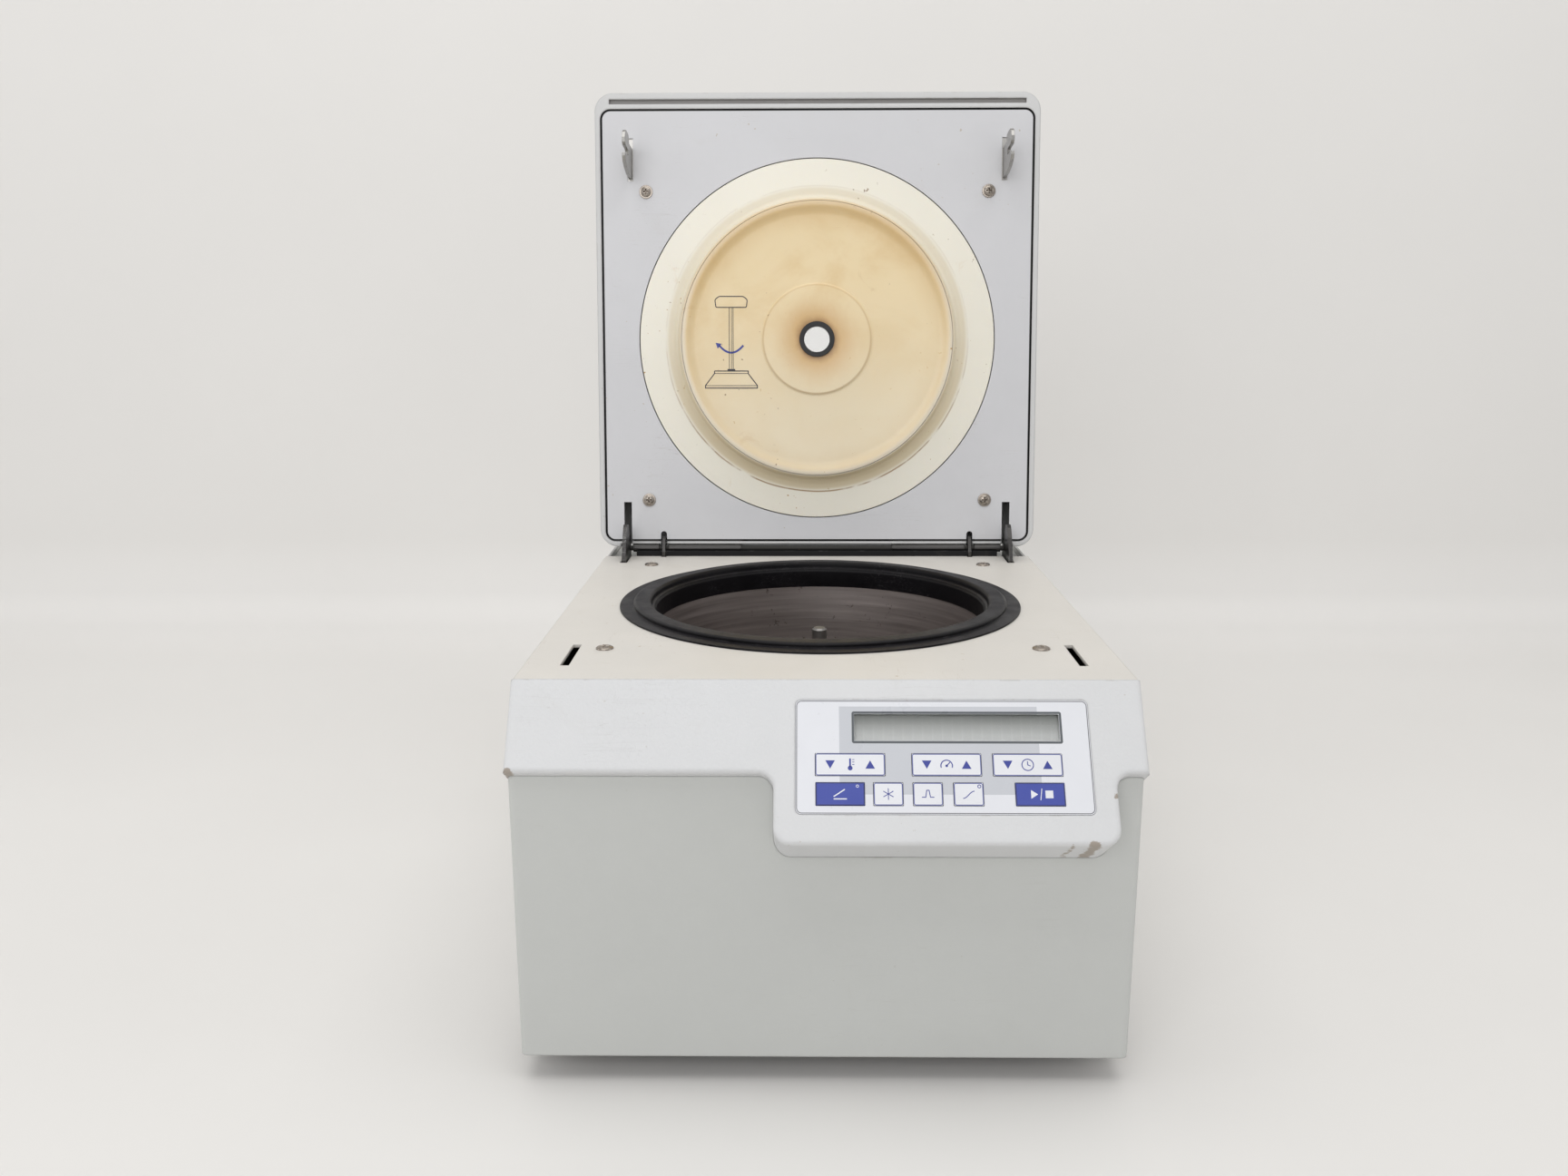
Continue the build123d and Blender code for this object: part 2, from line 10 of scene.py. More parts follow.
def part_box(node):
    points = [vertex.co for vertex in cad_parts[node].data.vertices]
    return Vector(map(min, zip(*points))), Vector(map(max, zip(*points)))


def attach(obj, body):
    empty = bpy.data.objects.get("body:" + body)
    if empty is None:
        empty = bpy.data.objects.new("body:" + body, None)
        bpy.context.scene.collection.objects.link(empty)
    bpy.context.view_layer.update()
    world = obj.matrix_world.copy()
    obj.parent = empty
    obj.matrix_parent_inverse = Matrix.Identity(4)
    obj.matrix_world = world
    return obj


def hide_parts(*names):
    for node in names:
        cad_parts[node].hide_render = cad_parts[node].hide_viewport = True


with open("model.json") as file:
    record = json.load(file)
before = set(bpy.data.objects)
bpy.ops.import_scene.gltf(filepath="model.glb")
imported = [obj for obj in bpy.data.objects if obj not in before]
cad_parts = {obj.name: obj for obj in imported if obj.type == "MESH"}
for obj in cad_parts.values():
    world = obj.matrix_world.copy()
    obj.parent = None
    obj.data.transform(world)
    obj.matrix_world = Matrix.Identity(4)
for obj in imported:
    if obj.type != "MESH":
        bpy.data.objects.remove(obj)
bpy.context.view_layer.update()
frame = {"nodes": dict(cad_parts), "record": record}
nodes = frame["nodes"]
MM = 0.001
MM_PER_METRE = 1000

# ---- where the sloping hood, the leaning lid and the round chamber lie, in millimetres ----

HOOD_TILT = radians(34.4)
HOOD_TOP = np.array([0.0, -222.7, 225.9])
HOOD_DOWN = np.array([0.0, -sin(HOOD_TILT), -cos(HOOD_TILT)])
HOOD_IN = np.array([0.0, cos(HOOD_TILT), -sin(HOOD_TILT)])
LID_LEAN = radians(7.0)
LID_FOOT = np.array([0.0, 126.5, 231.9])
LID_UP = np.array([0.0, sin(LID_LEAN), cos(LID_LEAN)])
LID_BACK = np.array([0.0, cos(LID_LEAN), -sin(LID_LEAN)])
PORT_UP = 162.3
LID_LENGTH = 350.5
PLATE_HALF = 166.3
CHAMBER = np.array([0.0, -36.7, 0.0])
ACROSS = np.array([1.0, 0.0, 0.0])
# near-black painted shade for the gap between the lid's inner plate and its shell
GAP_SHADE = (0.006, 0.006, 0.006)
SENSOR = 36.0


def on_hood(across, down, proud):
    """Points on the hood: across its width, down its slope and proud of its face."""
    spot = np.multiply.outer(across, ACROSS) + np.multiply.outer(down, HOOD_DOWN)
    return HOOD_TOP + spot - np.multiply.outer(proud, HOOD_IN)


def on_lid(across, up, proud):
    """Points on the lid: across, up from its foot and proud of its inner face."""
    spot = np.multiply.outer(across, ACROSS) + np.multiply.outer(up, LID_UP)
    return LID_FOOT + spot - np.multiply.outer(proud, LID_BACK)


# ---- material building ----


def node(tree, kind, **settings):
    """A shader node with its settings and its inputs' values."""
    made = tree.nodes.new("ShaderNode" + kind)
    for name, value in settings.items():
        if hasattr(made, name) and name not in made.inputs:
            setattr(made, name, value)
        else:
            made.inputs[name.replace("_", " ")].default_value = value
    return made


def wire(tree, start, end):
    tree.links.new(start, end)


def math(tree, operation, *values):
    """A Math node fed with numbers or sockets."""
    made = tree.nodes.new("ShaderNodeMath")
    made.operation = operation
    for socket, value in zip(made.inputs, values):
        if isinstance(value, (int, float)):
            socket.default_value = value
        else:
            wire(tree, value, socket)
    return made.outputs[0]


def times(tree, *values):
    return math(tree, "MULTIPLY", *values)


def plus(tree, *values):
    return math(tree, "ADD", *values)


def minus(tree, *values):
    return math(tree, "SUBTRACT", *values)


def size_of(tree, value):
    return math(tree, "ABSOLUTE", value)


def root(tree, value):
    return math(tree, "SQRT", value)


def span(tree, value, low, high, out_low=0.0, out_high=1.0):
    """A value carried softly from one range to another and held at the ends."""
    made = tree.nodes.new("ShaderNodeMapRange")
    made.interpolation_type = "SMOOTHSTEP"
    wire(tree, value, made.inputs["Value"])
    for name, number in zip(("From Min", "From Max", "To Min", "To Max"), (low, high, out_low, out_high)):
        made.inputs[name].default_value = number
    return made.outputs["Result"]


def noise(tree, place, scale, detail=3.0, rough=0.5, warp=0.0):
    """Noise at a place, whose scale is a number or a socket."""
    made = node(tree, "TexNoise", Detail=detail, Roughness=rough, Distortion=warp)
    wire(tree, place, made.inputs["Vector"])
    if isinstance(scale, (int, float)):
        made.inputs["Scale"].default_value = scale
    else:
        wire(tree, scale, made.inputs["Scale"])
    return made.outputs["Fac"]


def blend_colour(tree, share, low, high):
    """A colour mixed between two, each a socket or an (r, g, b)."""
    made = tree.nodes.new("ShaderNodeMix")
    made.data_type = "RGBA"
    wire(tree, share, made.inputs[0])
    for socket, value in zip((made.inputs[6], made.inputs[7]), (low, high)):
        if isinstance(value, tuple):
            socket.default_value = (*value, 1.0)
        else:
            wire(tree, value, socket)
    return made.outputs[2]


def stretched(tree, place, scale, turn=(0, 0, 0)):
    """A place turned and stretched by a Mapping node."""
    made = node(tree, "Mapping")
    made.inputs["Rotation"].default_value = turn
    made.inputs["Scale"].default_value = scale
    wire(tree, place, made.inputs["Vector"])
    return made.outputs["Vector"]


def new_group(name, inputs, outputs):
    """A shader group with named inputs (with their values) and outputs."""
    group = bpy.data.node_groups.new(name, "ShaderNodeTree")
    for label, value in inputs.items():
        kind = "Color" if isinstance(value, tuple) else "Float"
        socket = group.interface.new_socket(label, in_out="INPUT", socket_type="NodeSocket" + kind)
        socket.default_value = (*value, 1.0) if isinstance(value, tuple) else value
    for label, kind in outputs.items():
        group.interface.new_socket(label, in_out="OUTPUT", socket_type="NodeSocket" + kind)
    return group, group.nodes.new("NodeGroupInput").outputs, group.nodes.new("NodeGroupOutput").inputs


def worn_paint_group():
    """Coloured coat: cloudy tone, soil, specks and fine scratches, chipped edges, stippled grain."""
    group, given, out = new_group(
        "worn_paint",
        {
            "Colour": (0.7, 0.7, 0.7), "Soil Colour": (0.35, 0.28, 0.2), "Chip Colour": (0.3, 0.3, 0.3),
            "Roughness": 0.45, "Cloud": 0.05, "Soil": 0.3, "Specks": 0.3, "Scratches": 0.3,
            "Edge Chips": 0.3, "Edge Radius": 0.0012, "Grain Scale": 900.0, "Grain Depth": 0.2,
        },
        {"Colour": "Color", "Roughness": "Float", "Normal": "Vector"},
    )
    place = node(group, "TexCoord").outputs["Object"]
    cloud = span(group, noise(group, place, 7.0, 4.0, 0.6), 0.3, 0.7)
    fine = span(group, noise(group, place, 60.0, 3.0, 0.6), 0.3, 0.7)
    tone = times(group, given["Cloud"], minus(group, cloud, 0.5))
    tone = plus(group, tone, times(group, given["Cloud"], times(group, 0.35, minus(group, fine, 0.5))))
    toned = node(group, "HueSaturation")
    wire(group, plus(group, 1.0, tone), toned.inputs["Value"])
    wire(group, given["Colour"], toned.inputs["Color"])
    blotch = span(group, noise(group, place, 19.0, 6.0, 0.62, 0.6), 0.6, 0.8)
    soil = times(group, times(group, blotch, cloud), given["Soil"])
    colour = blend_colour(group, soil, toned.outputs["Color"], given["Soil Colour"])
    specks = span(group, noise(group, place, 330.0, 1.0, 0.4), 0.755, 0.79)
    specks = times(
        group, times(group, specks, given["Specks"]), span(group, noise(group, place, 12.0), 0.5, 0.62)
    )
    colour = blend_colour(group, specks, colour, given["Soil Colour"])
    lines = []
    for turn, stretch in (((0.2, 0.5, 0.7), (7, 240, 240)), ((1.1, -0.4, 2.1), (260, 9, 260))):
        trace = noise(group, stretched(group, place, stretch, turn), 1.0, 2.0, 0.4)
        lines.append(span(group, size_of(group, minus(group, trace, 0.5)), 0.0, 0.006, 1.0, 0.0))
    scratch = times(
        group, math(group, "MAXIMUM", *lines), span(group, noise(group, place, 15.0, 2.0), 0.52, 0.66)
    )
    scratch = times(group, scratch, given["Scratches"])
    colour = blend_colour(group, scratch, colour, given["Chip Colour"])
    rim = node(group, "Bevel")
    rim.samples = 6
    wire(group, given["Edge Radius"], rim.inputs["Radius"])
    face = node(group, "NewGeometry")
    likeness = node(group, "VectorMath", operation="DOT_PRODUCT")
    wire(group, rim.outputs["Normal"], likeness.inputs[0])
    wire(group, face.outputs["Normal"], likeness.inputs[1])
    edge = span(group, likeness.outputs["Value"], 0.93, 0.995, 1.0, 0.0)
    broken = span(group, noise(group, place, 75.0, 5.0, 0.65), 0.54, 0.66)
    chips = times(group, times(group, edge, broken), given["Edge Chips"])
    colour = blend_colour(group, chips, colour, given["Chip Colour"])
    wire(group, colour, out["Colour"])
    gloss = plus(group, given["Roughness"], times(group, 0.1, minus(group, fine, 0.5)))
    wire(group, plus(group, gloss, times(group, 0.25, soil)), out["Roughness"])
    height = minus(group, noise(group, place, given["Grain Scale"], 2.0, 0.5), times(group, 1.5, chips))
    bump = node(group, "Bump", Distance=0.0002)
    wire(group, minus(group, height, scratch), bump.inputs["Height"])
    wire(group, given["Grain Depth"], bump.inputs["Strength"])
    wire(group, rim.outputs["Normal"], bump.inputs["Normal"])
    wire(group, bump.outputs["Normal"], out["Normal"])
    return group


def turned_metal_group():
    """Metal worked round an upright axis: streaks that run with the turn, dull bands and spots of soil."""
    group, given, out = new_group(
        "turned_metal",
        {
            "Colour": (0.6, 0.6, 0.6), "Soil Colour": (0.1, 0.07, 0.05), "Roughness": 0.3, "Streaks": 0.15,
            "Soil": 0.3, "Axis Y": -0.0367, "Streak Scale": 900.0, "Depth": 0.2,
        },
        {"Colour": "Color", "Roughness": "Float", "Normal": "Vector"},
    )
    place = node(group, "TexCoord").outputs["Object"]
    parts = node(group, "SeparateXYZ")
    wire(group, place, parts.inputs[0])
    x, z = parts.outputs["X"], parts.outputs["Z"]
    y = minus(group, parts.outputs["Y"], given["Axis Y"])
    reach = root(group, plus(group, times(group, x, x), times(group, y, y)))
    ring = node(group, "CombineXYZ")
    wire(group, times(group, reach, given["Streak Scale"]), ring.inputs["X"])
    wire(group, times(group, 1.3, math(group, "ARCTAN2", y, x)), ring.inputs["Y"])
    wire(group, times(group, z, given["Streak Scale"]), ring.inputs["Z"])
    streak = noise(group, ring.outputs[0], 1.0, 3.0, 0.6)
    band = noise(group, stretched(group, ring.outputs[0], (0.06, 0.4, 0.06)), 1.0, 2.0)
    tone = plus(group, minus(group, streak, 0.5), times(group, 1.6, minus(group, band, 0.5)))
    toned = node(group, "HueSaturation")
    wire(group, plus(group, 1.0, times(group, given["Streaks"], tone)), toned.inputs["Value"])
    wire(group, given["Colour"], toned.inputs["Color"])
    spots = span(group, noise(group, place, 120.0, 4.0, 0.7), 0.6, 0.72)
    spots = times(
        group, times(group, spots, given["Soil"]), span(group, noise(group, place, 20.0), 0.42, 0.6)
    )
    wire(group, blend_colour(group, spots, toned.outputs["Color"], given["Soil Colour"]), out["Colour"])
    gloss = plus(group, given["Roughness"], times(group, 0.2, minus(group, streak, 0.5)))
    wire(group, plus(group, gloss, times(group, 0.3, spots)), out["Roughness"])
    bump = node(group, "Bump", Distance=0.0001)
    wire(group, streak, bump.inputs["Height"])
    wire(group, given["Depth"], bump.inputs["Strength"])
    wire(group, bump.outputs["Normal"], out["Normal"])
    return group


def rectangle_group():
    """A soft-edged rectangle on a plane: 1 inside it, and a line of a given width round its rim."""
    group, given, out = new_group(
        "printed_rectangle",
        {
            "Across": 0.0, "Down": 0.0, "Low Across": 0.0, "High Across": 1.0, "Low Down": 0.0,
            "High Down": 1.0, "Line": 0.4, "Round": 1.0,
        },
        {"Fill": "Float", "Rim": "Float"},
    )
    reach = []
    for along, low, high in (("Across", "Low Across", "High Across"), ("Down", "Low Down", "High Down")):
        middle = times(group, 0.5, plus(group, given[low], given[high]))
        half = times(group, 0.5, minus(group, given[high], given[low]))
        out_by = minus(group, size_of(group, minus(group, given[along], middle)), half)
        reach.append(plus(group, out_by, given["Round"]))
    corner = [math(group, "MAXIMUM", value, 0.0) for value in reach]
    corner = root(group, plus(group, *[times(group, value, value) for value in corner]))
    inner = math(group, "MINIMUM", math(group, "MAXIMUM", *reach), 0.0)
    distance = minus(group, plus(group, corner, inner), given["Round"])
    wire(group, span(group, distance, -0.06, 0.06, 1.0, 0.0), out["Fill"])
    rim = minus(group, size_of(group, distance), times(group, 0.5, given["Line"]))
    wire(group, span(group, rim, -0.06, 0.06, 1.0, 0.0), out["Rim"])
    return group


def hood_place_group():
    """Millimetres across and down the hood's sloping face."""
    group, _, out = new_group("hood_place", {}, {"Across": "Float", "Down": "Float"})
    place = node(group, "TexCoord").outputs["Object"]
    for label, direction in (("Across", ACROSS), ("Down", HOOD_DOWN)):
        along = node(group, "VectorMath", operation="DOT_PRODUCT")
        wire(group, place, along.inputs[0])
        along.inputs[1].default_value = tuple(direction * MM_PER_METRE)
        wire(group, minus(group, along.outputs["Value"], float(direction @ HOOD_TOP)), out[label])
    return group


def lid_place_group():
    """Millimetres across the lid, up from its foot, back from its face, and out from the port's middle."""
    group, _, out = new_group(
        "lid_place", {}, {"Across": "Float", "Up": "Float", "Back": "Float", "Reach": "Float"}
    )
    place = node(group, "TexCoord").outputs["Object"]
    spot = {}
    for label, direction in (("Across", ACROSS), ("Up", LID_UP), ("Back", LID_BACK)):
        along = node(group, "VectorMath", operation="DOT_PRODUCT")
        wire(group, place, along.inputs[0])
        along.inputs[1].default_value = tuple(direction * MM_PER_METRE)
        spot[label] = minus(group, along.outputs["Value"], float(direction @ LID_FOOT))
        wire(group, spot[label], out[label])
    above = minus(group, spot["Up"], PORT_UP)
    square = plus(group, times(group, spot["Across"], spot["Across"]), times(group, above, above))
    wire(group, root(group, square), out["Reach"])
    return group


WORN_PAINT = worn_paint_group()
TURNED_METAL = turned_metal_group()
RECTANGLE = rectangle_group()
HOOD_PLACE = hood_place_group()
LID_PLACE = lid_place_group()


def placed_group(tree, group, **values):
    """A shader group placed in a tree with its own values, which may be sockets."""
    made = tree.nodes.new("ShaderNodeGroup")
    made.node_tree = group
    for name, value in values.items():
        socket = made.inputs[name.replace("_", " ")]
        if isinstance(value, tuple):
            socket.default_value = (*value, 1.0)
        elif isinstance(value, (int, float)):
            socket.default_value = value
        else:
            wire(tree, value, socket)
    return made


def new_material(name, **shader):
    """A material with its Principled shader's plain values set, and its tree."""
    material = bpy.data.materials.new(name)
    material.use_nodes = True
    tree = material.node_tree
    surface = tree.nodes["Principled BSDF"]
    for label, value in shader.items():
        socket = surface.inputs[label.replace("_", " ")]
        socket.default_value = (*value, 1.0) if isinstance(value, tuple) else value
    return material, tree, surface


def finish_surface(tree, surface, group):
    for label, end in (("Colour", "Base Color"), ("Roughness", "Roughness"), ("Normal", "Normal")):
        wire(tree, group.outputs[label], surface.inputs[end])


def painted(name, shader=None, **values):
    material, tree, surface = new_material(name, **(shader or {}))
    finish_surface(tree, surface, placed_group(tree, WORN_PAINT, **values))
    return material


def turned_metal(name, shader=None, **values):
    material, tree, surface = new_material(name, **({"Metallic": 1.0} | (shader or {})))
    finish_surface(tree, surface, placed_group(tree, TURNED_METAL, **values))
    return material


METAL = {"Metallic": 1.0}
CLEAR = {"Transmission_Weight": 1.0, "Roughness": 0.04, "IOR": 1.49}

MATERIALS = {
    "front_paint": painted(
        "front_paint", Colour=(0.555, 0.565, 0.545), Soil_Colour=(0.36, 0.33, 0.27),
        Chip_Colour=(0.36, 0.34, 0.3), Roughness=0.55, Cloud=0.03, Soil=0.1, Specks=0.25, Scratches=0.1,
        Edge_Chips=0.5, Edge_Radius=0.0015, Grain_Scale=820.0, Grain_Depth=0.45,
    ),
    "side_paint": painted(
        "side_paint", Colour=(0.57, 0.575, 0.56), Soil_Colour=(0.36, 0.33, 0.27),
        Chip_Colour=(0.33, 0.31, 0.28), Roughness=0.55, Cloud=0.04, Soil=0.16, Specks=0.3, Scratches=0.25,
        Edge_Chips=0.5, Edge_Radius=0.0012, Grain_Scale=820.0, Grain_Depth=0.45,
    ),
    "top_paint": painted(
        "top_paint", Colour=(0.66, 0.635, 0.59), Soil_Colour=(0.42, 0.33, 0.22),
        Chip_Colour=(0.45, 0.4, 0.33), Roughness=0.42, Cloud=0.05, Soil=0.22, Specks=0.6, Scratches=0.3,
        Edge_Chips=0.5, Edge_Radius=0.001, Grain_Scale=900.0, Grain_Depth=0.18,
    ),
    "tray_paint": painted("tray_paint", Colour=(0.2, 0.2, 0.2), Roughness=0.6, Soil=0.3, Edge_Chips=0.3),
    "hinge_black": painted(
        "hinge_black", {"Specular_IOR_Level": 0.2}, Colour=(0.012, 0.012, 0.013),
        Soil_Colour=(0.22, 0.2, 0.17), Chip_Colour=(0.3, 0.3, 0.3), Roughness=0.7, Cloud=0.4, Soil=0.35,
        Specks=0.8, Scratches=0.3, Edge_Chips=0.3, Edge_Radius=0.0008,
    ),
    "foot_rubber": painted(
        "foot_rubber", Colour=(0.02, 0.02, 0.02), Roughness=0.75, Soil=0.3, Edge_Chips=0.0
    ),
    "grommet_black": painted(
        "grommet_black", Colour=(0.012, 0.012, 0.012), Roughness=0.5, Soil=0.1, Edge_Chips=0.0,
        Edge_Radius=0.0004,
    ),
    "inlet_black": painted(
        "inlet_black", Colour=(0.02, 0.02, 0.021), Roughness=0.42, Soil=0.1, Edge_Chips=0.1,
        Edge_Radius=0.0005,
    ),
    "fan_black": painted(
        "fan_black", Colour=(0.025, 0.025, 0.026), Soil_Colour=(0.3, 0.28, 0.25), Roughness=0.5, Soil=0.6,
        Edge_Chips=0.0,
    ),
    "compressor_black": painted(
        "compressor_black", Colour=(0.015, 0.015, 0.016), Roughness=0.25, Soil=0.4, Edge_Chips=0.2
    ),
    "foam": painted(
        "foam", Colour=(0.75, 0.68, 0.45), Roughness=0.9, Soil=0.2, Edge_Chips=0.0, Grain_Scale=500.0,
        Grain_Depth=1.0,
    ),
    "board_green": painted(
        "board_green", Colour=(0.02, 0.16, 0.06), Roughness=0.35, Soil=0.0, Edge_Chips=0.0
    ),
    "bracket_steel": painted(
        "bracket_steel", METAL, Colour=(0.075, 0.072, 0.07), Soil_Colour=(0.12, 0.09, 0.07),
        Chip_Colour=(0.6, 0.6, 0.6), Roughness=0.36, Cloud=0.3, Soil=0.6, Specks=0.5, Scratches=0.6,
        Edge_Chips=0.6, Edge_Radius=0.0005,
    ),
    "hook_steel": painted(
        "hook_steel", METAL, Colour=(0.42, 0.41, 0.39), Soil_Colour=(0.16, 0.12, 0.09),
        Chip_Colour=(0.7, 0.69, 0.67), Roughness=0.34, Cloud=0.3, Soil=0.5, Specks=0.4, Scratches=0.7,
        Edge_Chips=0.6, Edge_Radius=0.0005,
    ),
    "rod_steel": painted(
        "rod_steel", {"Specular_IOR_Level": 0.3}, Colour=(0.035, 0.033, 0.03), Roughness=0.6, Soil=0.3,
        Scratches=0.3, Edge_Chips=0.0,
    ),
    "motor_cast": painted(
        "motor_cast", METAL, Colour=(0.45, 0.45, 0.45), Roughness=0.5, Soil=0.3, Grain_Depth=0.8
    ),
    "rotor_iron": painted("rotor_iron", METAL, Colour=(0.2, 0.2, 0.2), Roughness=0.55, Soil=0.3),
    "condenser_metal": painted("condenser_metal", METAL, Colour=(0.5, 0.5, 0.5), Roughness=0.4, Soil=0.4),
    "module_metal": painted("module_metal", METAL, Colour=(0.4, 0.4, 0.41), Roughness=0.4, Soil=0.2),
    "pin_metal": painted("pin_metal", METAL, Colour=(0.6, 0.5, 0.25), Roughness=0.3, Soil=0.1),
    "solenoid_metal": painted("solenoid_metal", METAL, Colour=(0.3, 0.3, 0.32), Roughness=0.4, Soil=0.2),
    "copper": painted("copper", METAL, Colour=(0.62, 0.3, 0.18), Roughness=0.4, Soil=0.4, Cloud=0.4),
    "screw_nickel": painted(
        "screw_nickel", METAL, Colour=(0.34, 0.30, 0.26), Soil_Colour=(0.10, 0.07, 0.05),
        Chip_Colour=(0.75, 0.74, 0.72), Roughness=0.28, Cloud=0.25, Soil=0.5, Specks=0.4, Scratches=0.4,
        Edge_Chips=0.2, Edge_Radius=0.0003,
    ),
    "bowl_steel": turned_metal(
        "bowl_steel", Colour=(0.44, 0.40, 0.385), Soil_Colour=(0.08, 0.06, 0.045), Roughness=0.42,
        Streaks=0.75, Soil=0.8, Streak_Scale=420.0, Depth=0.25,
    ),
    "shaft_steel": turned_metal(
        "shaft_steel", Colour=(0.25, 0.24, 0.23), Roughness=0.42, Streaks=0.3, Soil=0.4,
        Streak_Scale=1600.0, Depth=0.3,
    ),
}


def gasket_rubber():
    """Satin black rubber, dusted grey on its upper faces, with pale scuffs round the ring."""
    material, tree, surface = new_material("gasket_rubber", Specular_IOR_Level=0.13)
    base = placed_group(
        tree, WORN_PAINT, Colour=(0.0045, 0.004, 0.005), Soil_Colour=(0.05, 0.046, 0.048),
        Chip_Colour=(0.07, 0.065, 0.068), Roughness=0.4, Cloud=0.5, Soil=0.45, Specks=0.9, Scratches=0.4,
        Edge_Chips=0.5, Edge_Radius=0.0012, Grain_Scale=700.0, Grain_Depth=0.35,
    )
    finish_surface(tree, surface, base)
    facing = node(tree, "SeparateXYZ")
    wire(tree, node(tree, "NewGeometry").outputs["Normal"], facing.inputs[0])
    place = node(tree, "TexCoord").outputs["Object"]
    dust = span(tree, noise(tree, place, 26.0, 5.0, 0.65), 0.3, 0.75, 0.35, 1.0)
    dust = times(tree, times(tree, dust, span(tree, facing.outputs["Z"], 0.55, 1.0)), 0.05)
    wire(
        tree,
        blend_colour(tree, dust, base.outputs["Colour"], (0.30, 0.29, 0.31)), surface.inputs["Base Color"],
    )
    return material


def lid_paint():
    """Lid shell: pale paint outside, painted shade in near-black on its inner walls round the plate, and a darkened
    pull groove along the top.
    """
    material, tree, surface = new_material("lid_paint")
    base = placed_group(
        tree, WORN_PAINT, Colour=(0.62, 0.62, 0.615), Soil_Colour=(0.34, 0.31, 0.26),
        Chip_Colour=(0.4, 0.38, 0.35), Roughness=0.5, Cloud=0.04, Soil=0.22, Specks=0.35, Scratches=0.2,
        Edge_Chips=0.35, Edge_Radius=0.0022, Grain_Scale=600.0, Grain_Depth=0.9,
    )
    finish_surface(tree, surface, base)
    spot = placed_group(tree, LID_PLACE).outputs
    across = size_of(tree, spot["Across"])
    from_middle = size_of(tree, minus(tree, spot["Up"], LID_LENGTH / 2))
    # painted shade: near-black on the shell's inner walls round the plate, where the gap is in shade
    inside = times(
        tree, span(tree, across, 168.2, 168.5, 1.0, 0.0), span(tree, from_middle, 167.5, 167.8, 1.0, 0.0)
    )
    inside = times(
        tree, inside,
        times(tree, span(tree, spot["Back"], 0.2, 0.5), span(tree, spot["Back"], 43.0, 43.5, 1.0, 0.0)),
    )
    # darkens the pull groove along the top towards brown-grey
    groove = times(
        tree, span(tree, spot["Up"], 342.0, 342.3), span(tree, spot["Up"], 345.7, 346.0, 1.0, 0.0)
    )
    depth = times(tree, span(tree, spot["Back"], 0.1, 0.4), span(tree, spot["Back"], 3.3, 3.6, 1.0, 0.0))
    groove = times(tree, times(tree, groove, depth), span(tree, across, 161.0, 161.3, 1.0, 0.0))
    colour = blend_colour(tree, times(tree, groove, 0.55), base.outputs["Colour"], (0.20, 0.17, 0.15))
    wire(tree, blend_colour(tree, inside, colour, GAP_SHADE), surface.inputs["Base Color"])
    return material


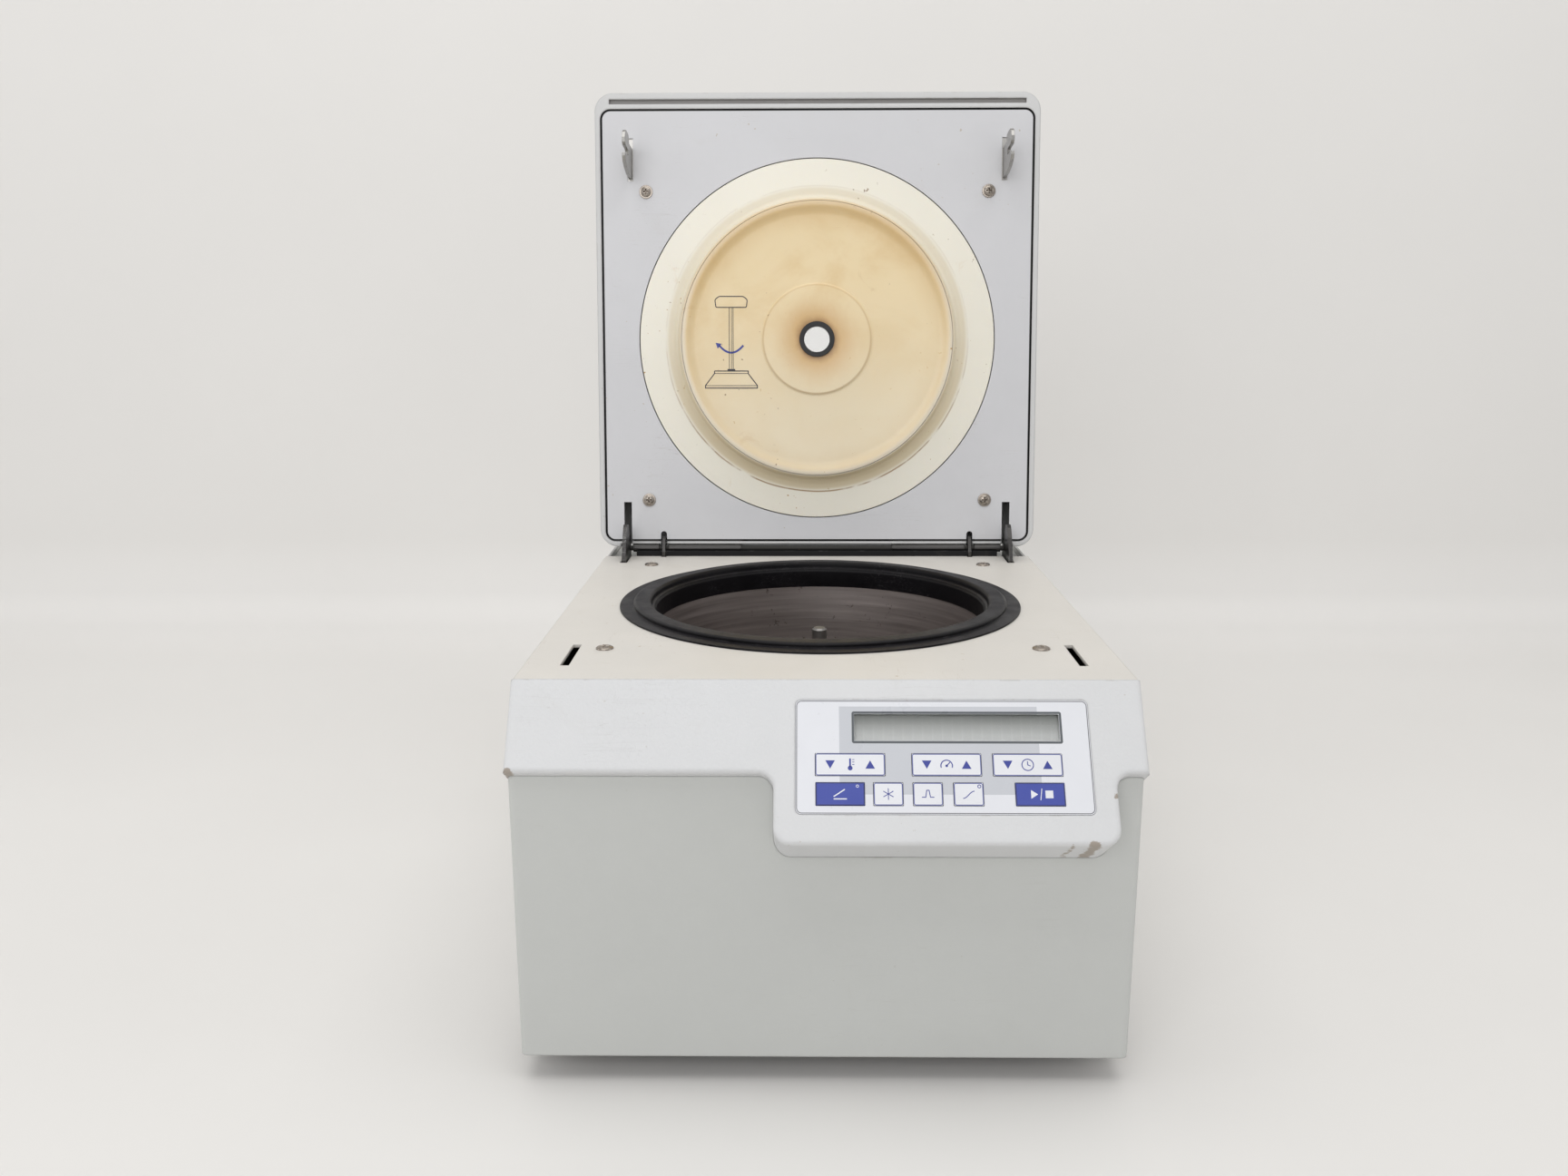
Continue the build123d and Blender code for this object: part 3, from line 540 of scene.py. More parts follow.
def liner_cream():
    """Cream plastic, yellowed in the dish, browned round the port and along the lip, with a thin brown line at the
    lip's foot, strongest below; painted shade deepens the dish's tint, mottles and lip towards the top and browns
    the lip's outer flank, most below.
    """
    material, tree, surface = new_material(
        "liner_cream", Subsurface_Weight=0.08, Subsurface_Scale=0.004, Coat_Weight=0.12, Coat_Roughness=0.25
    )
    surface.inputs["Subsurface Radius"].default_value = (1.0, 0.7, 0.35)
    base = placed_group(
        tree, WORN_PAINT, Colour=(0.85, 0.81, 0.70), Soil_Colour=(0.45, 0.27, 0.09),
        Chip_Colour=(0.6, 0.5, 0.34), Roughness=0.33, Cloud=0.03, Soil=0.2, Specks=0.9, Scratches=0.12,
        Edge_Chips=0.0, Edge_Radius=0.0008, Grain_Scale=800.0, Grain_Depth=0.08,
    )
    finish_surface(tree, surface, base)
    place = node(tree, "TexCoord").outputs["Object"]
    spot = placed_group(tree, LID_PLACE).outputs
    up, reach = minus(tree, spot["Up"], PORT_UP), spot["Reach"]
    ragged = times(tree, 16.0, minus(tree, noise(tree, place, 22.0, 5.0, 0.6), 0.5))
    rough_reach = plus(tree, reach, ragged)
    colour = base.outputs["Colour"]
    # yellowed dish; painted shade makes the yellowing deepen towards the top, where the dished face is in shade
    dish = times(tree, span(tree, reach, 101.0, 105.0, 1.0, 0.0), span(tree, up, -95.0, 60.0, 0.55, 0.95))
    colour = blend_colour(tree, dish, colour, (0.82, 0.65, 0.375))
    cloud = span(tree, noise(tree, place, 13.0, 5.0, 0.62, 0.5), 0.42, 0.66)
    # mottled stain, with painted shade making it stronger towards the top
    upper_stain_and_shade = times(
        tree, times(tree, cloud, span(tree, up, -60.0, 70.0, 0.1, 0.6)),
        span(tree, reach, 100.0, 106.0, 1.0, 0.0),
    )
    colour = blend_colour(tree, upper_stain_and_shade, colour, (0.70, 0.49, 0.22))
    # browned lip, with painted shade making it stronger towards the top
    lip = times(tree, span(tree, rough_reach, 80.0, 106.0), span(tree, reach, 106.0, 108.5, 1.0, 0.0))
    colour = blend_colour(
        tree, times(tree, lip, span(tree, up, -20.0, 90.0, 0.25, 0.7)), colour, (0.64, 0.43, 0.18)
    )
    # painted shade: the lip's outer flank is browned all round, most on its lower side, which faces away from the
    # light
    ramp = times(tree, span(tree, reach, 105.5, 107.5), span(tree, reach, 115.0, 118.8, 1.0, 0.0))
    colour = blend_colour(
        tree, times(tree, ramp, span(tree, up, -100.0, 60.0, 0.62, 0.3)), colour, (0.52, 0.39, 0.17)
    )
    around_port = times(tree, span(tree, rough_reach, 12.0, 40.0, 1.0, 0.0), 0.75)
    colour = blend_colour(tree, around_port, colour, (0.60, 0.34, 0.10))
    deep = times(tree, span(tree, rough_reach, 11.0, 20.0, 1.0, 0.0), 0.7)
    colour = blend_colour(tree, deep, colour, (0.26, 0.11, 0.03))
    hub = size_of(tree, minus(tree, reach, 42.0))
    colour = blend_colour(
        tree, times(tree, span(tree, hub, 0.2, 1.2, 1.0, 0.0), 0.35), colour, (0.45, 0.28, 0.12)
    )
    seam = size_of(tree, minus(tree, plus(tree, reach, times(tree, 0.08, ragged)), 118.4))
    seam = times(tree, span(tree, seam, 0.2, 0.9, 1.0, 0.0), span(tree, up, -112.0, 20.0, 0.85, 0.12))
    seam = times(tree, seam, span(tree, noise(tree, place, 60.0, 4.0), 0.3, 0.55))
    colour = blend_colour(tree, seam, colour, (0.33, 0.20, 0.08))
    stain = span(tree, noise(tree, place, 34.0, 6.0, 0.7, 0.8), 0.63, 0.74)
    stain = times(tree, times(tree, stain, span(tree, reach, 20.0, 60.0, 1.0, 0.35)), 0.6)
    colour = blend_colour(tree, stain, colour, (0.55, 0.33, 0.11))
    spots = times(
        tree, span(tree, noise(tree, place, 210.0, 2.0), 0.71, 0.75),
        span(tree, noise(tree, place, 17.0), 0.5, 0.62),
    )
    colour = blend_colour(tree, times(tree, spots, 0.8), colour, (0.22, 0.12, 0.05))
    wire(tree, colour, surface.inputs["Base Color"])
    return material


def lid_plate_paint():
    """Inner plate: satin cool grey with rust-brown specks, and painted shade in near-black along its edge, in the
    gap to the shell.
    """
    material, tree, surface = new_material("lid_plate_paint")
    base = placed_group(
        tree, WORN_PAINT, Colour=(0.63, 0.63, 0.645), Soil_Colour=(0.40, 0.31, 0.2),
        Chip_Colour=(0.38, 0.35, 0.31), Roughness=0.4, Cloud=0.045, Soil=0.16, Specks=0.55, Scratches=0.35,
        Edge_Chips=0.0, Edge_Radius=0.0004, Grain_Scale=900.0, Grain_Depth=0.12,
    )
    finish_surface(tree, surface, base)
    spot = placed_group(tree, LID_PLACE).outputs
    # painted shade: near-black on the plate's edge faces and outermost rim, for the shaded gap to the shell
    face = placed_group(
        tree, RECTANGLE, Across=spot["Across"], Down=spot["Up"], Low_Across=-PLATE_HALF,
        High_Across=PLATE_HALF, Low_Down=5.9, High_Down=336.9, Round=6.3, Line=0.2,
    )
    wire(
        tree,
        blend_colour(tree, face.outputs["Fill"], GAP_SHADE, base.outputs["Colour"]),
        surface.inputs["Base Color"],
    )
    return material


def hood_paint():
    """Hood: stippled pale paint, knocked off at the tab's lower right corner and the left end's lower edge."""
    material, tree, surface = new_material("hood_paint")
    base = placed_group(
        tree, WORN_PAINT, Colour=(0.665, 0.67, 0.675), Soil_Colour=(0.42, 0.36, 0.28),
        Chip_Colour=(0.40, 0.37, 0.33), Roughness=0.5, Cloud=0.035, Soil=0.14, Specks=0.35, Scratches=0.18,
        Edge_Chips=0.4, Edge_Radius=0.0022, Grain_Scale=600.0, Grain_Depth=0.9,
    )
    finish_surface(tree, surface, base)
    place = node(tree, "TexCoord").outputs["Object"]
    spot = placed_group(tree, HOOD_PLACE)
    colour = base.outputs["Colour"]
    for across, down, reach in (
        (137.0, 88.5, 6.0), (126.0, 89.5, 3.0), (-166.0, 51.0, 5.0), (150.0, 62.0, 2.0)
    ):
        gap = [
            minus(tree, spot.outputs[label], value) for label, value in (("Across", across), ("Down", down))
        ]
        gap = root(tree, plus(tree, *[times(tree, value, value) for value in gap]))
        ragged = plus(tree, gap, times(tree, 9.0, minus(tree, noise(tree, place, 240.0, 4.0, 0.7), 0.5)))
        knock = span(tree, ragged, reach * 0.35, reach * 0.6, 0.8, 0.0)
        colour = blend_colour(tree, knock, colour, (0.30, 0.24, 0.18))
    wire(tree, colour, surface.inputs["Base Color"])
    return material


def keypad_film():
    """Printed membrane: pale sheet, grey block behind the keys, blue rims round the white keys."""
    material, tree, surface = new_material("overlay_film", Coat_Weight=0.25, Coat_Roughness=0.2)
    base = placed_group(
        tree, WORN_PAINT, Colour=(0.755, 0.765, 0.80), Roughness=0.32, Cloud=0.02, Soil=0.04, Specks=0.2,
        Scratches=0.1, Edge_Chips=0.0, Edge_Radius=0.0003, Grain_Scale=1200.0, Grain_Depth=0.06,
    )
    finish_surface(tree, surface, base)
    spot = placed_group(tree, HOOD_PLACE)

    def printed(low, high, round_by, line=0.4):
        return placed_group(
            tree, RECTANGLE, Across=spot.outputs["Across"], Down=spot.outputs["Down"], Low_Across=low[0],
            High_Across=high[0], Low_Down=low[1], High_Down=high[1], Round=round_by, Line=line,
        )

    block = printed((7.4, 15.1), (111.7, 62.2), 0.1)
    colour = blend_colour(tree, block.outputs["Fill"], base.outputs["Colour"], (0.565, 0.58, 0.615))
    screen = printed((14.6, 18.4), (123.7, 34.5), 0.6, 1.2)
    colour = blend_colour(tree, screen.outputs["Rim"], colour, (0.10, 0.11, 0.12))
    border = printed((-14.9, 12.2), (137.9, 71.9), 2.6, 0.45)
    colour = blend_colour(tree, times(tree, border.outputs["Rim"], 0.95), colour, (0.12, 0.12, 0.13))
    wire(tree, colour, surface.inputs["Base Color"])
    return material


def key_film(name, colour, rim, extents):
    """A key's membrane top with its printed rim; extents are (left, right, top, bottom) on the hood's face."""
    material, tree, surface = new_material(name, Coat_Weight=0.2, Coat_Roughness=0.22)
    base = placed_group(
        tree, WORN_PAINT, Colour=colour, Roughness=0.34, Cloud=0.04, Soil=0.05, Specks=0.1, Scratches=0.15,
        Edge_Chips=0.0, Edge_Radius=0.0003, Grain_Scale=1200.0, Grain_Depth=0.06,
    )
    finish_surface(tree, surface, base)
    spot = placed_group(tree, HOOD_PLACE)
    tone = base.outputs["Colour"]
    for left, right, top, bottom in extents:
        ring = placed_group(
            tree, RECTANGLE, Across=spot.outputs["Across"], Down=spot.outputs["Down"],
            Low_Across=left + 0.55, High_Across=right - 0.55, Low_Down=top + 0.55, High_Down=bottom - 0.55,
            Round=0.9, Line=0.5,
        )
        tone = blend_colour(tree, ring.outputs["Rim"], tone, rim)
    wire(tree, tone, surface.inputs["Base Color"])
    return material


def screen_glass():
    """Unlit liquid-crystal panel: grey-green, with painted shade at its top edge and a painted reflection whitening
    it towards the bottom, and faint character cells.
    """
    material, tree, surface = new_material(
        "screen_grey", Roughness=0.3, Specular_IOR_Level=0.8, Coat_Weight=0.6, Coat_Roughness=0.08
    )
    spot = placed_group(tree, HOOD_PLACE)
    # painted shade and reflection: grey-green at the top edge, whitening to full white towards the bottom
    shade_and_reflection = span(tree, spot.outputs["Down"], 18.0, 34.5, 0.0, 1.0)
    colour = blend_colour(tree, shade_and_reflection, (0.33, 0.34, 0.325), (1.0, 1.0, 1.0))
    cells = []
    for label, pitch, share in (("Across", 5.2, 0.82), ("Down", 8.4, 0.88)):
        local = math(tree, "FRACT", math(tree, "DIVIDE", spot.outputs[label], pitch))
        cells.append(math(tree, "LESS_THAN", local, share))
    cell = times(tree, times(tree, *cells), 0.05)
    wire(tree, blend_colour(tree, cell, colour, (0.1, 0.12, 0.1)), surface.inputs["Base Color"])
    return material


def clear_plastic(name, tint):
    """Clear window with wiped smears."""
    material, tree, surface = new_material(name, Base_Color=tint, **CLEAR)
    place = node(tree, "TexCoord").outputs["Object"]
    smear = span(
        tree,
        noise(tree, stretched(tree, place, (40, 160, 160), (0.3, 0.2, 0.6)), 1.0, 3.0), 0.45, 0.7, 0.03,
        0.12,
    )
    wire(tree, smear, surface.inputs["Roughness"])
    return material


def ink(name, colour):
    """Printed ink, slightly uneven."""
    return painted(
        name, Colour=colour, Roughness=0.4, Cloud=0.12, Soil=0.0, Specks=0.0, Scratches=0.0, Edge_Chips=0.0,
        Edge_Radius=0.0001, Grain_Depth=0.03,
    )


ROCKER_ROW = (40.4, 52.6)
BUTTON_ROW = (55.8, 68.2)
ROCKERS = {"temp_key": (-5.4, 31.2), "speed_key": (44.8, 81.2), "time_key": (86.8, 123.2)}
BUTTONS = {"open_key": (-5.2, 20.4), "fast_cool_key": (24.6, 40.2), "short_key": (45.0, 60.6),
           "soft_key": (65.9, 81.6), "start_stop_key": (97.7, 123.4)}
KEY_EXTENTS = {name: (*across, *ROCKER_ROW) for name, across in ROCKERS.items()}
KEY_EXTENTS |= {name: (*across, *BUTTON_ROW) for name, across in BUTTONS.items()}
BLUE_KEYS = ("open_key", "start_stop_key")
INK_BLUE = (0.045, 0.06, 0.30)

MATERIALS |= {
    "gasket_rubber": gasket_rubber(), "lid_paint": lid_paint(), "lid_plate_paint": lid_plate_paint(),
    "hood_paint": hood_paint(), "liner_cream": liner_cream(), "overlay_film": keypad_film(),
    "screen_grey": screen_glass(),
    "window_clear": clear_plastic("window_clear", (0.99, 1.0, 0.99)),
    "port_clear": clear_plastic("port_clear", (0.97, 0.98, 0.98)),
    "key_white": key_film(
        "key_white", (0.77, 0.78, 0.815), (0.13, 0.15, 0.36),
        [extent for name, extent in KEY_EXTENTS.items() if name not in BLUE_KEYS],
    ),
    "key_blue": key_film(
        "key_blue", (0.052, 0.075, 0.36), (0.04, 0.05, 0.2), [KEY_EXTENTS[name] for name in BLUE_KEYS]
    ),
}
BLUE_INK = ink("blue_ink", INK_BLUE)
WHITE_INK = ink("white_ink", (0.78, 0.79, 0.83))
DARK_INK = ink("dark_ink", (0.015, 0.014, 0.03))

for part in frame["record"]["subparts"]:
    mesh = nodes[part["node"]].data
    mesh.materials.clear()
    mesh.materials.append(MATERIALS[part["material_slot"]])

# ---- shapes ----


def piece(name, points, faces, body, material, smooth=True, merge=True):
    """A mesh from points in millimetres, riding on a body."""
    mesh = bpy.data.meshes.new(name)
    mesh.from_pydata((np.asarray(points).reshape(-1, 3) * MM).tolist(), [], faces)
    if merge:
        work = bmesh.new()
        work.from_mesh(mesh)
        bmesh.ops.remove_doubles(work, verts=work.verts, dist=1e-7)
        bmesh.ops.dissolve_degenerate(work, edges=work.edges, dist=1e-8)
        bmesh.ops.recalc_face_normals(work, faces=work.faces)
        work.to_mesh(mesh)
        work.free()
    mesh.polygons.foreach_set("use_smooth", np.full(len(mesh.polygons), smooth))
    mesh.materials.append(material)
    made = bpy.data.objects.new(name, mesh)
    bpy.context.scene.collection.objects.link(made)
    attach(made, body)
    return made


def grid_faces(rows, columns, wrap_rows=False, wrap_columns=False, start=0):
    """Quads of a grid numbered row by row, each corner's number worked out for the whole grid at once."""
    r = np.arange(rows if wrap_rows else rows - 1)[:, None]
    c = np.arange(columns if wrap_columns else columns - 1)[None, :]
    r2, c2 = (r + 1) % rows, (c + 1) % columns
    corners = [a * columns + b + start for a, b in ((r, c), (r, c2), (r2, c2), (r2, c))]
    return np.stack(np.broadcast_arrays(*corners), -1).reshape(-1, 4).tolist()


def softened(corners, trims, steps=6):
    """A closed outline whose corners are rounded: each corner C becomes the curve
    (1-t)^2 A + 2t(1-t) C + t^2 B, where A and B lie a trim's length from C on its two sides."""
    corners = np.asarray(corners, float)
    trims = np.asarray(trims, float)[:, None]
    before, after = np.roll(corners, 1, 0) - corners, np.roll(corners, -1, 0) - corners
    a = corners + before / np.linalg.norm(before, axis=1, keepdims=True) * trims
    b = corners + after / np.linalg.norm(after, axis=1, keepdims=True) * trims
    t = np.linspace(0, 1, steps)[None, :, None]
    curve = (1 - t) ** 2 * a[:, None] + 2 * t * (1 - t) * corners[:, None] + t**2 * b[:, None]
    return curve.reshape(-1, corners.shape[1])


def turned_points(profile, centre, up, side, steps):
    """Each profile point (radius r, height h) swept round: centre + h up + r (cos a side + sin a across)."""
    angle = np.linspace(0, 2 * pi, steps, endpoint=False)
    other = np.cross(up, side)
    ring = np.cos(angle)[:, None] * side + np.sin(angle)[:, None] * other
    return centre + profile[:, None, 1:2] * up + profile[:, None, 0:1] * ring[None]


def turned_ring(name, profile, centre, up, side, body, slot, steps=256):
    """A closed outline turned all the way round an axis."""
    points = turned_points(profile, centre, up, side, steps)
    faces = grid_faces(len(profile), steps, True, True)
    return piece(name, points, faces, body, MATERIALS[slot])


Z = np.array([0.0, 0.0, 1.0])

# chamber rim: flat flange, raised ring and the lip that runs down inside the bowl
rim_corners = [
    (111.2, 223.0), (111.2, 211.0), (109.4, 211.0), (109.4, 223.0), (110.3, 223.9), (110.6, 224.8),
    (112.3, 225.2), (112.6, 228.0), (114.2, 229.45), (122.9, 229.2), (124.6, 228.3), (124.3, 226.5),
    (133.65, 226.2), (133.65, 225.15), (113.4, 225.15), (113.4, 223.0),
]
rim_trims = [0.2, 0.3, 0.5, 0.4, 0.4, 0.4, 0.3, 0.8, 0.8, 0.7, 0.7, 0.4, 0.4, 0.3, 0.2, 0.2]
gasket = turned_ring(
    "rubber_rim", softened(rim_corners, rim_trims), CHAMBER, Z, ACROSS, "casing", "gasket_rubber", 320
)
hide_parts("bowl_gasket")

# lid liner: flat flange, rounded lip, shallow dish and a hub step round the port; heights are out of the lid
dish = [
    (138.7, -0.05), (112.0, -0.05), (108.9, 1.5), (106.8, 7.4), (104.6, 8.55), (101.4, 8.4), (97.0, 6.6),
    (70.0, 5.9), (43.4, 5.75), (41.8, 6.9), (12.6, 6.9), (12.6, 4.7), (40.6, 4.7), (43.0, 3.5), (97.0, 4.7),
    (102.0, 6.0), (104.2, 6.0), (106.3, -1.9), (138.7, -1.9),
]
dish_trims = [0.4, 1.5, 1.2, 1.5, 1.3, 1.2, 2.5, 4.0, 0.6, 0.6, 0.4, 0.4, 0.8, 0.8, 2.0, 1.0, 0.8, 0.8, 0.4]
liner = turned_ring(
    "dished_liner", softened(dish, dish_trims), LID_FOOT + PORT_UP * LID_UP, -LID_BACK, ACROSS, "lid",
    "liner_cream", 320,
)
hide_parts("lid_liner")


def screw_points(radius, height, rim, recess, steps=72, rings=34):
    """A screw head as heights over a disc: dome h = rim + (height-rim) sqrt(1-q^2), with q the share of the radius,
    less a cross-shaped recess that is full where |u| < w or |v| < w inside its reach."""
    q = np.concatenate([np.linspace(0, 1, rings) ** 0.9, [1.0, 1.0]])
    angle = np.linspace(0, 2 * pi, steps, endpoint=False) + 0.35
    dome = rim + (height - rim) * np.sqrt(np.clip(1 - q**2, 0, 1))
    dome[-1] = 0.0
    u, v = np.outer(q, np.cos(angle)) * radius, np.outer(q, np.sin(angle)) * radius
    arm = np.minimum(np.abs(u), np.abs(v)) / (0.15 * radius)
    reach = np.maximum(np.abs(u), np.abs(v)) / (0.56 * radius)
    cut = np.clip(1.6 - 1.6 * arm, 0, 1) * np.clip(4 - 4 * reach, 0, 1)
    return u, v, dome[:, None] - recess * cut * (dome[:, None] > 0)


def screw_set(name, spots, up, side, body, radius, height, rim, recess, washer=None):
    """Identical screw heads, each on its spot, with a dished washer under it where one is given."""
    other = np.cross(up, side)
    points, faces, count = [], [], 0
    for spot in spots:
        u, v, h = screw_points(radius, height, rim, recess)
        sheet = spot + u[..., None] * side + v[..., None] * other + h[..., None] * up
        points.append(sheet.reshape(-1, 3))
        faces += grid_faces(*u.shape, False, True, count)
        count += u.size
        if washer:
            outline = softened(
                [(radius * 0.5, 0.02), (washer, 0.02), (washer, 0.75), (radius * 0.5, 0.85)],
                [0.01, 0.1, 0.3, 0.05],
            )
            ring = turned_points(outline, spot, up, side, 64)
            points.append(ring.reshape(-1, 3))
            faces += grid_faces(len(outline), 64, True, True, count)
            count += len(outline) * 64
    return piece(name, np.concatenate(points), faces, body, MATERIALS["screw_nickel"])


plate_spots = [np.array([x, y, 225.1]) for x in (-127.2, 127.2) for y in (-157.8, 86.2)]
heads = screw_set("plate_screw_heads", plate_spots, Z, ACROSS, "casing", 5.2, 1.95, 0.35, 1.5)
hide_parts("top_plate_screws")
lid_spots = [on_lid(x, up, 0.0) for x in (-133.0, 133.0) for up in (37.0, 276.0)]
heads = screw_set("lid_screw_heads", lid_spots, -LID_BACK, ACROSS, "lid", 3.9, 2.3, 0.9, 1.9, 5.2)
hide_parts("lid_screws")
back_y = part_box("rear_panel")[1].y * MM_PER_METRE
back_spots = [np.array([x, back_y, z]) for x in (-150.0, 150.0) for z in (38.0, 205.0)]
heads = screw_set(
    "back_screw_heads", back_spots, np.array([0.0, 1.0, 0.0]), ACROSS, "casing", 3.4, 1.95, 0.8, 1.0
)
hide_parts("panel_screws")

# ---- printed marks ----


def stroke(line, width):
    """Ribbon along a line of (across, down) points: each point is moved half the width to both sides, square to
    the line, and lengthened by 1/cos of half the turn so that corners keep their width."""
    line = np.asarray(line, float)
    step = np.diff(line, axis=0)
    step /= np.linalg.norm(step, axis=1, keepdims=True)
    ahead, behind = np.vstack([step, step[-1:]]), np.vstack([step[:1], step])
    middle = ahead + behind
    middle /= np.linalg.norm(middle, axis=1, keepdims=True)
    side = np.stack(
        [-middle[:, 1], middle[:, 0]], -1
    ) * (width / 2) / np.sum(middle * ahead, axis=1)[:, None]
    return np.stack([line + side, line - side], 1)


def arc(centre, radius, start, end, steps=25):
    """Points of an arc, in degrees."""
    angle = np.radians(np.linspace(start, end, steps))
    return np.stack([centre[0] + radius * np.cos(angle), centre[1] + radius * np.sin(angle)], -1)


def marks(name, body, material, place, strokes=(), areas=()):
    """Thin printed marks: ribbons and filled outlines set on a face by a place function."""
    points, faces, count = [], [], 0
    for line, width in strokes:
        ribbon = stroke(line, width)
        points.append(ribbon.reshape(-1, 2))
        faces += grid_faces(len(ribbon), 2, start=count)
        count += ribbon.size // 2
    for outline in areas:
        points.append(np.asarray(outline, float))
        faces.append(list(range(count, count + len(outline))))
        count += len(outline)
    flat = np.concatenate(points)
    piece(name, place(flat[:, 0], flat[:, 1]), faces, body, material, smooth=False, merge=False)


def key_face(across, down):
    return on_hood(across, down, np.full(len(across), 0.53))


def arrow_pair(extent):
    """A triangle pointing down on the left and one pointing up on the right."""
    left, right, top, bottom = extent
    middle = (top + bottom) / 2
    a, b = left + 7.9, right - 7.9
    return [[(a - 2.5, middle - 2.2), (a, middle + 2.2), (a + 2.5, middle - 2.2)],
            [(b - 2.5, middle + 2.2), (b + 2.5, middle + 2.2), (b, middle - 2.2)]]


def centre_of(name):
    left, right, top, bottom = KEY_EXTENTS[name]
    return (left + right) / 2, (top + bottom) / 2


x, d = centre_of("temp_key")
bulb = arc((x, d + 1.9), 1.25, 0, 360, 24)[:-1]
marks(
    "temp_mark", "temp_key", BLUE_INK, key_face,
    [
        ([(x, d - 3.2), (x, d + 1.2)], 0.9), ([(x + 1.1, d - 2.6), (x + 2.2, d - 2.6)], 0.35),
        ([(x + 1.1, d - 1.3), (x + 2.2, d - 1.3)], 0.35), ([(x + 1.1, d), (x + 2.2, d)], 0.35),
    ],
    arrow_pair(KEY_EXTENTS["temp_key"]) + [bulb],
)
x, d = centre_of("speed_key")
marks("speed_mark", "speed_key", BLUE_INK, key_face,
      [(arc((x, d + 0.6), 3.0, 160, 380), 0.55), ([(x, d + 0.6), (x + 1.8, d - 1.3)], 0.5)],
      arrow_pair(KEY_EXTENTS["speed_key"]) + [arc((x, d + 0.6), 0.7, 0, 360, 16)[:-1]])
x, d = centre_of("time_key")
marks(
    "time_mark", "time_key", BLUE_INK, key_face,
    [(arc((x, d), 3.0, 0, 360), 0.5), ([(x, d - 1.9), (x, d), (x + 1.5, d + 0.6)], 0.45)],
    arrow_pair(KEY_EXTENTS["time_key"]),
)
x, d = centre_of("open_key")
marks(
    "open_mark", "open_key", WHITE_INK, key_face,
    [
        ([(x - 3.4, d + 2.6), (x + 3.4, d + 2.6)], 0.6), ([(x - 3.4, d + 1.4), (x + 2.4, d - 2.4)], 0.6),
        (arc((x + 8.9, d - 4.1), 0.62, 0, 360), 0.3),
    ],
)
x, d = centre_of("fast_cool_key")
spokes = [
    (
        [(x - 3 * cos(a), d - 3 * sin(a)), (x + 3 * cos(a), d + 3 * sin(a))], 0.42
    ) for a in np.radians((30, 90, 150))
]
marks("fast_cool_mark", "fast_cool_key", BLUE_INK, key_face, spokes)
x, d = centre_of("short_key")
marks(
    "short_mark", "short_key", BLUE_INK, key_face,
    [
        (
            [
                (x - 3.2, d + 1.6), (x - 1.2, d + 1.6), (x - 0.6, d - 2.0), (x + 0.6, d - 2.0),
                (x + 1.2, d + 1.6), (x + 3.2, d + 1.6),
            ],
            0.45,
        )
    ],
)
x, d = centre_of("soft_key")
ramp = np.linspace(-1, 1, 21)
marks(
    "soft_mark", "soft_key", BLUE_INK, key_face,
    [
        (np.stack([x + 3.0 * ramp, d + 0.3 - 1.9 * np.sin(ramp * pi / 2)], -1), 0.45),
        (arc((x + 5.6, d - 4.1), 0.8, 0, 360), 0.4),
    ],
)
x, d = centre_of("start_stop_key")
marks(
    "start_stop_mark", "start_stop_key", WHITE_INK, key_face,
    [([(x, d + 3.0), (x + 0.9, d - 3.0)], 0.4)],
    [
        [(x - 4.8, d - 2.3), (x - 4.8, d + 2.3), (x - 1.2, d)],
        [(x + 2.6, d - 2.0), (x + 6.6, d - 2.0), (x + 6.6, d + 2.0), (x + 2.6, d + 2.0)],
    ],
)


def dish_face(across, up):
    """The dish's face, 5.9 to 6.6 proud between the hub and the lip."""
    reach = np.hypot(across, up - PORT_UP)
    return on_lid(across, up, 5.98 + 0.7 * np.clip((reach - 70) / 27, 0, 1))


def wrench_drawing():
    """Line drawing of a rotor key standing on a rotor, with a turning arrow; heights are from the port's centre."""
    x = -66.9

    def lifted(line):
        return np.add(line, (x, PORT_UP))

    handle = softened(
        [(-11.9, 24.6), (11.9, 24.6), (12.6, 30.5), (9.5, 33.0), (-9.5, 33.0), (-12.6, 30.5)], [1.2] * 6, 4
    )
    cap = [
        (-13.2, -24.4), (13.2, -24.4), (13.2, -26.4), (20.3, -35.6), (20.3, -37.6), (-20.3, -37.6),
        (-20.3, -35.6), (-13.2, -26.4), (-13.2, -24.4),
    ]
    lines = [
        (lifted(np.vstack([handle, handle[:1]])), 0.7), (lifted(cap), 0.7),
        (lifted([(-13.2, -26.3), (13.2, -26.3)]), 0.4), (lifted([(-20.3, -35.7), (20.3, -35.7)]), 0.4),
        (lifted([(-1.5, -22.8), (-1.5, 24.6)]), 0.45), (lifted([(1.5, -22.8), (1.5, 24.6)]), 0.45),
        (lifted([(0.3, -22.8), (0.3, 24.6)]), 0.35), (lifted([(-3, -23.4), (3, -23.4)]), 1.1),
    ]
    marks("liner_drawing", "lid", DARK_INK, dish_face, lines)
    turn = np.linspace(-1, 1, 25)
    sweep = np.stack([9.4 * turn, -10.2 + 5.6 * turn**2], -1)
    head = [(-12.2, -2.6), (-7.6, -3.4), (-10.6, -7.2)]
    marks(
        "liner_turn_arrow", "lid", BLUE_INK, dish_face, [(lifted(sweep), 1.5)],
        [lifted(head)],
    )


wrench_drawing()

# ---- stage, lights and camera ----


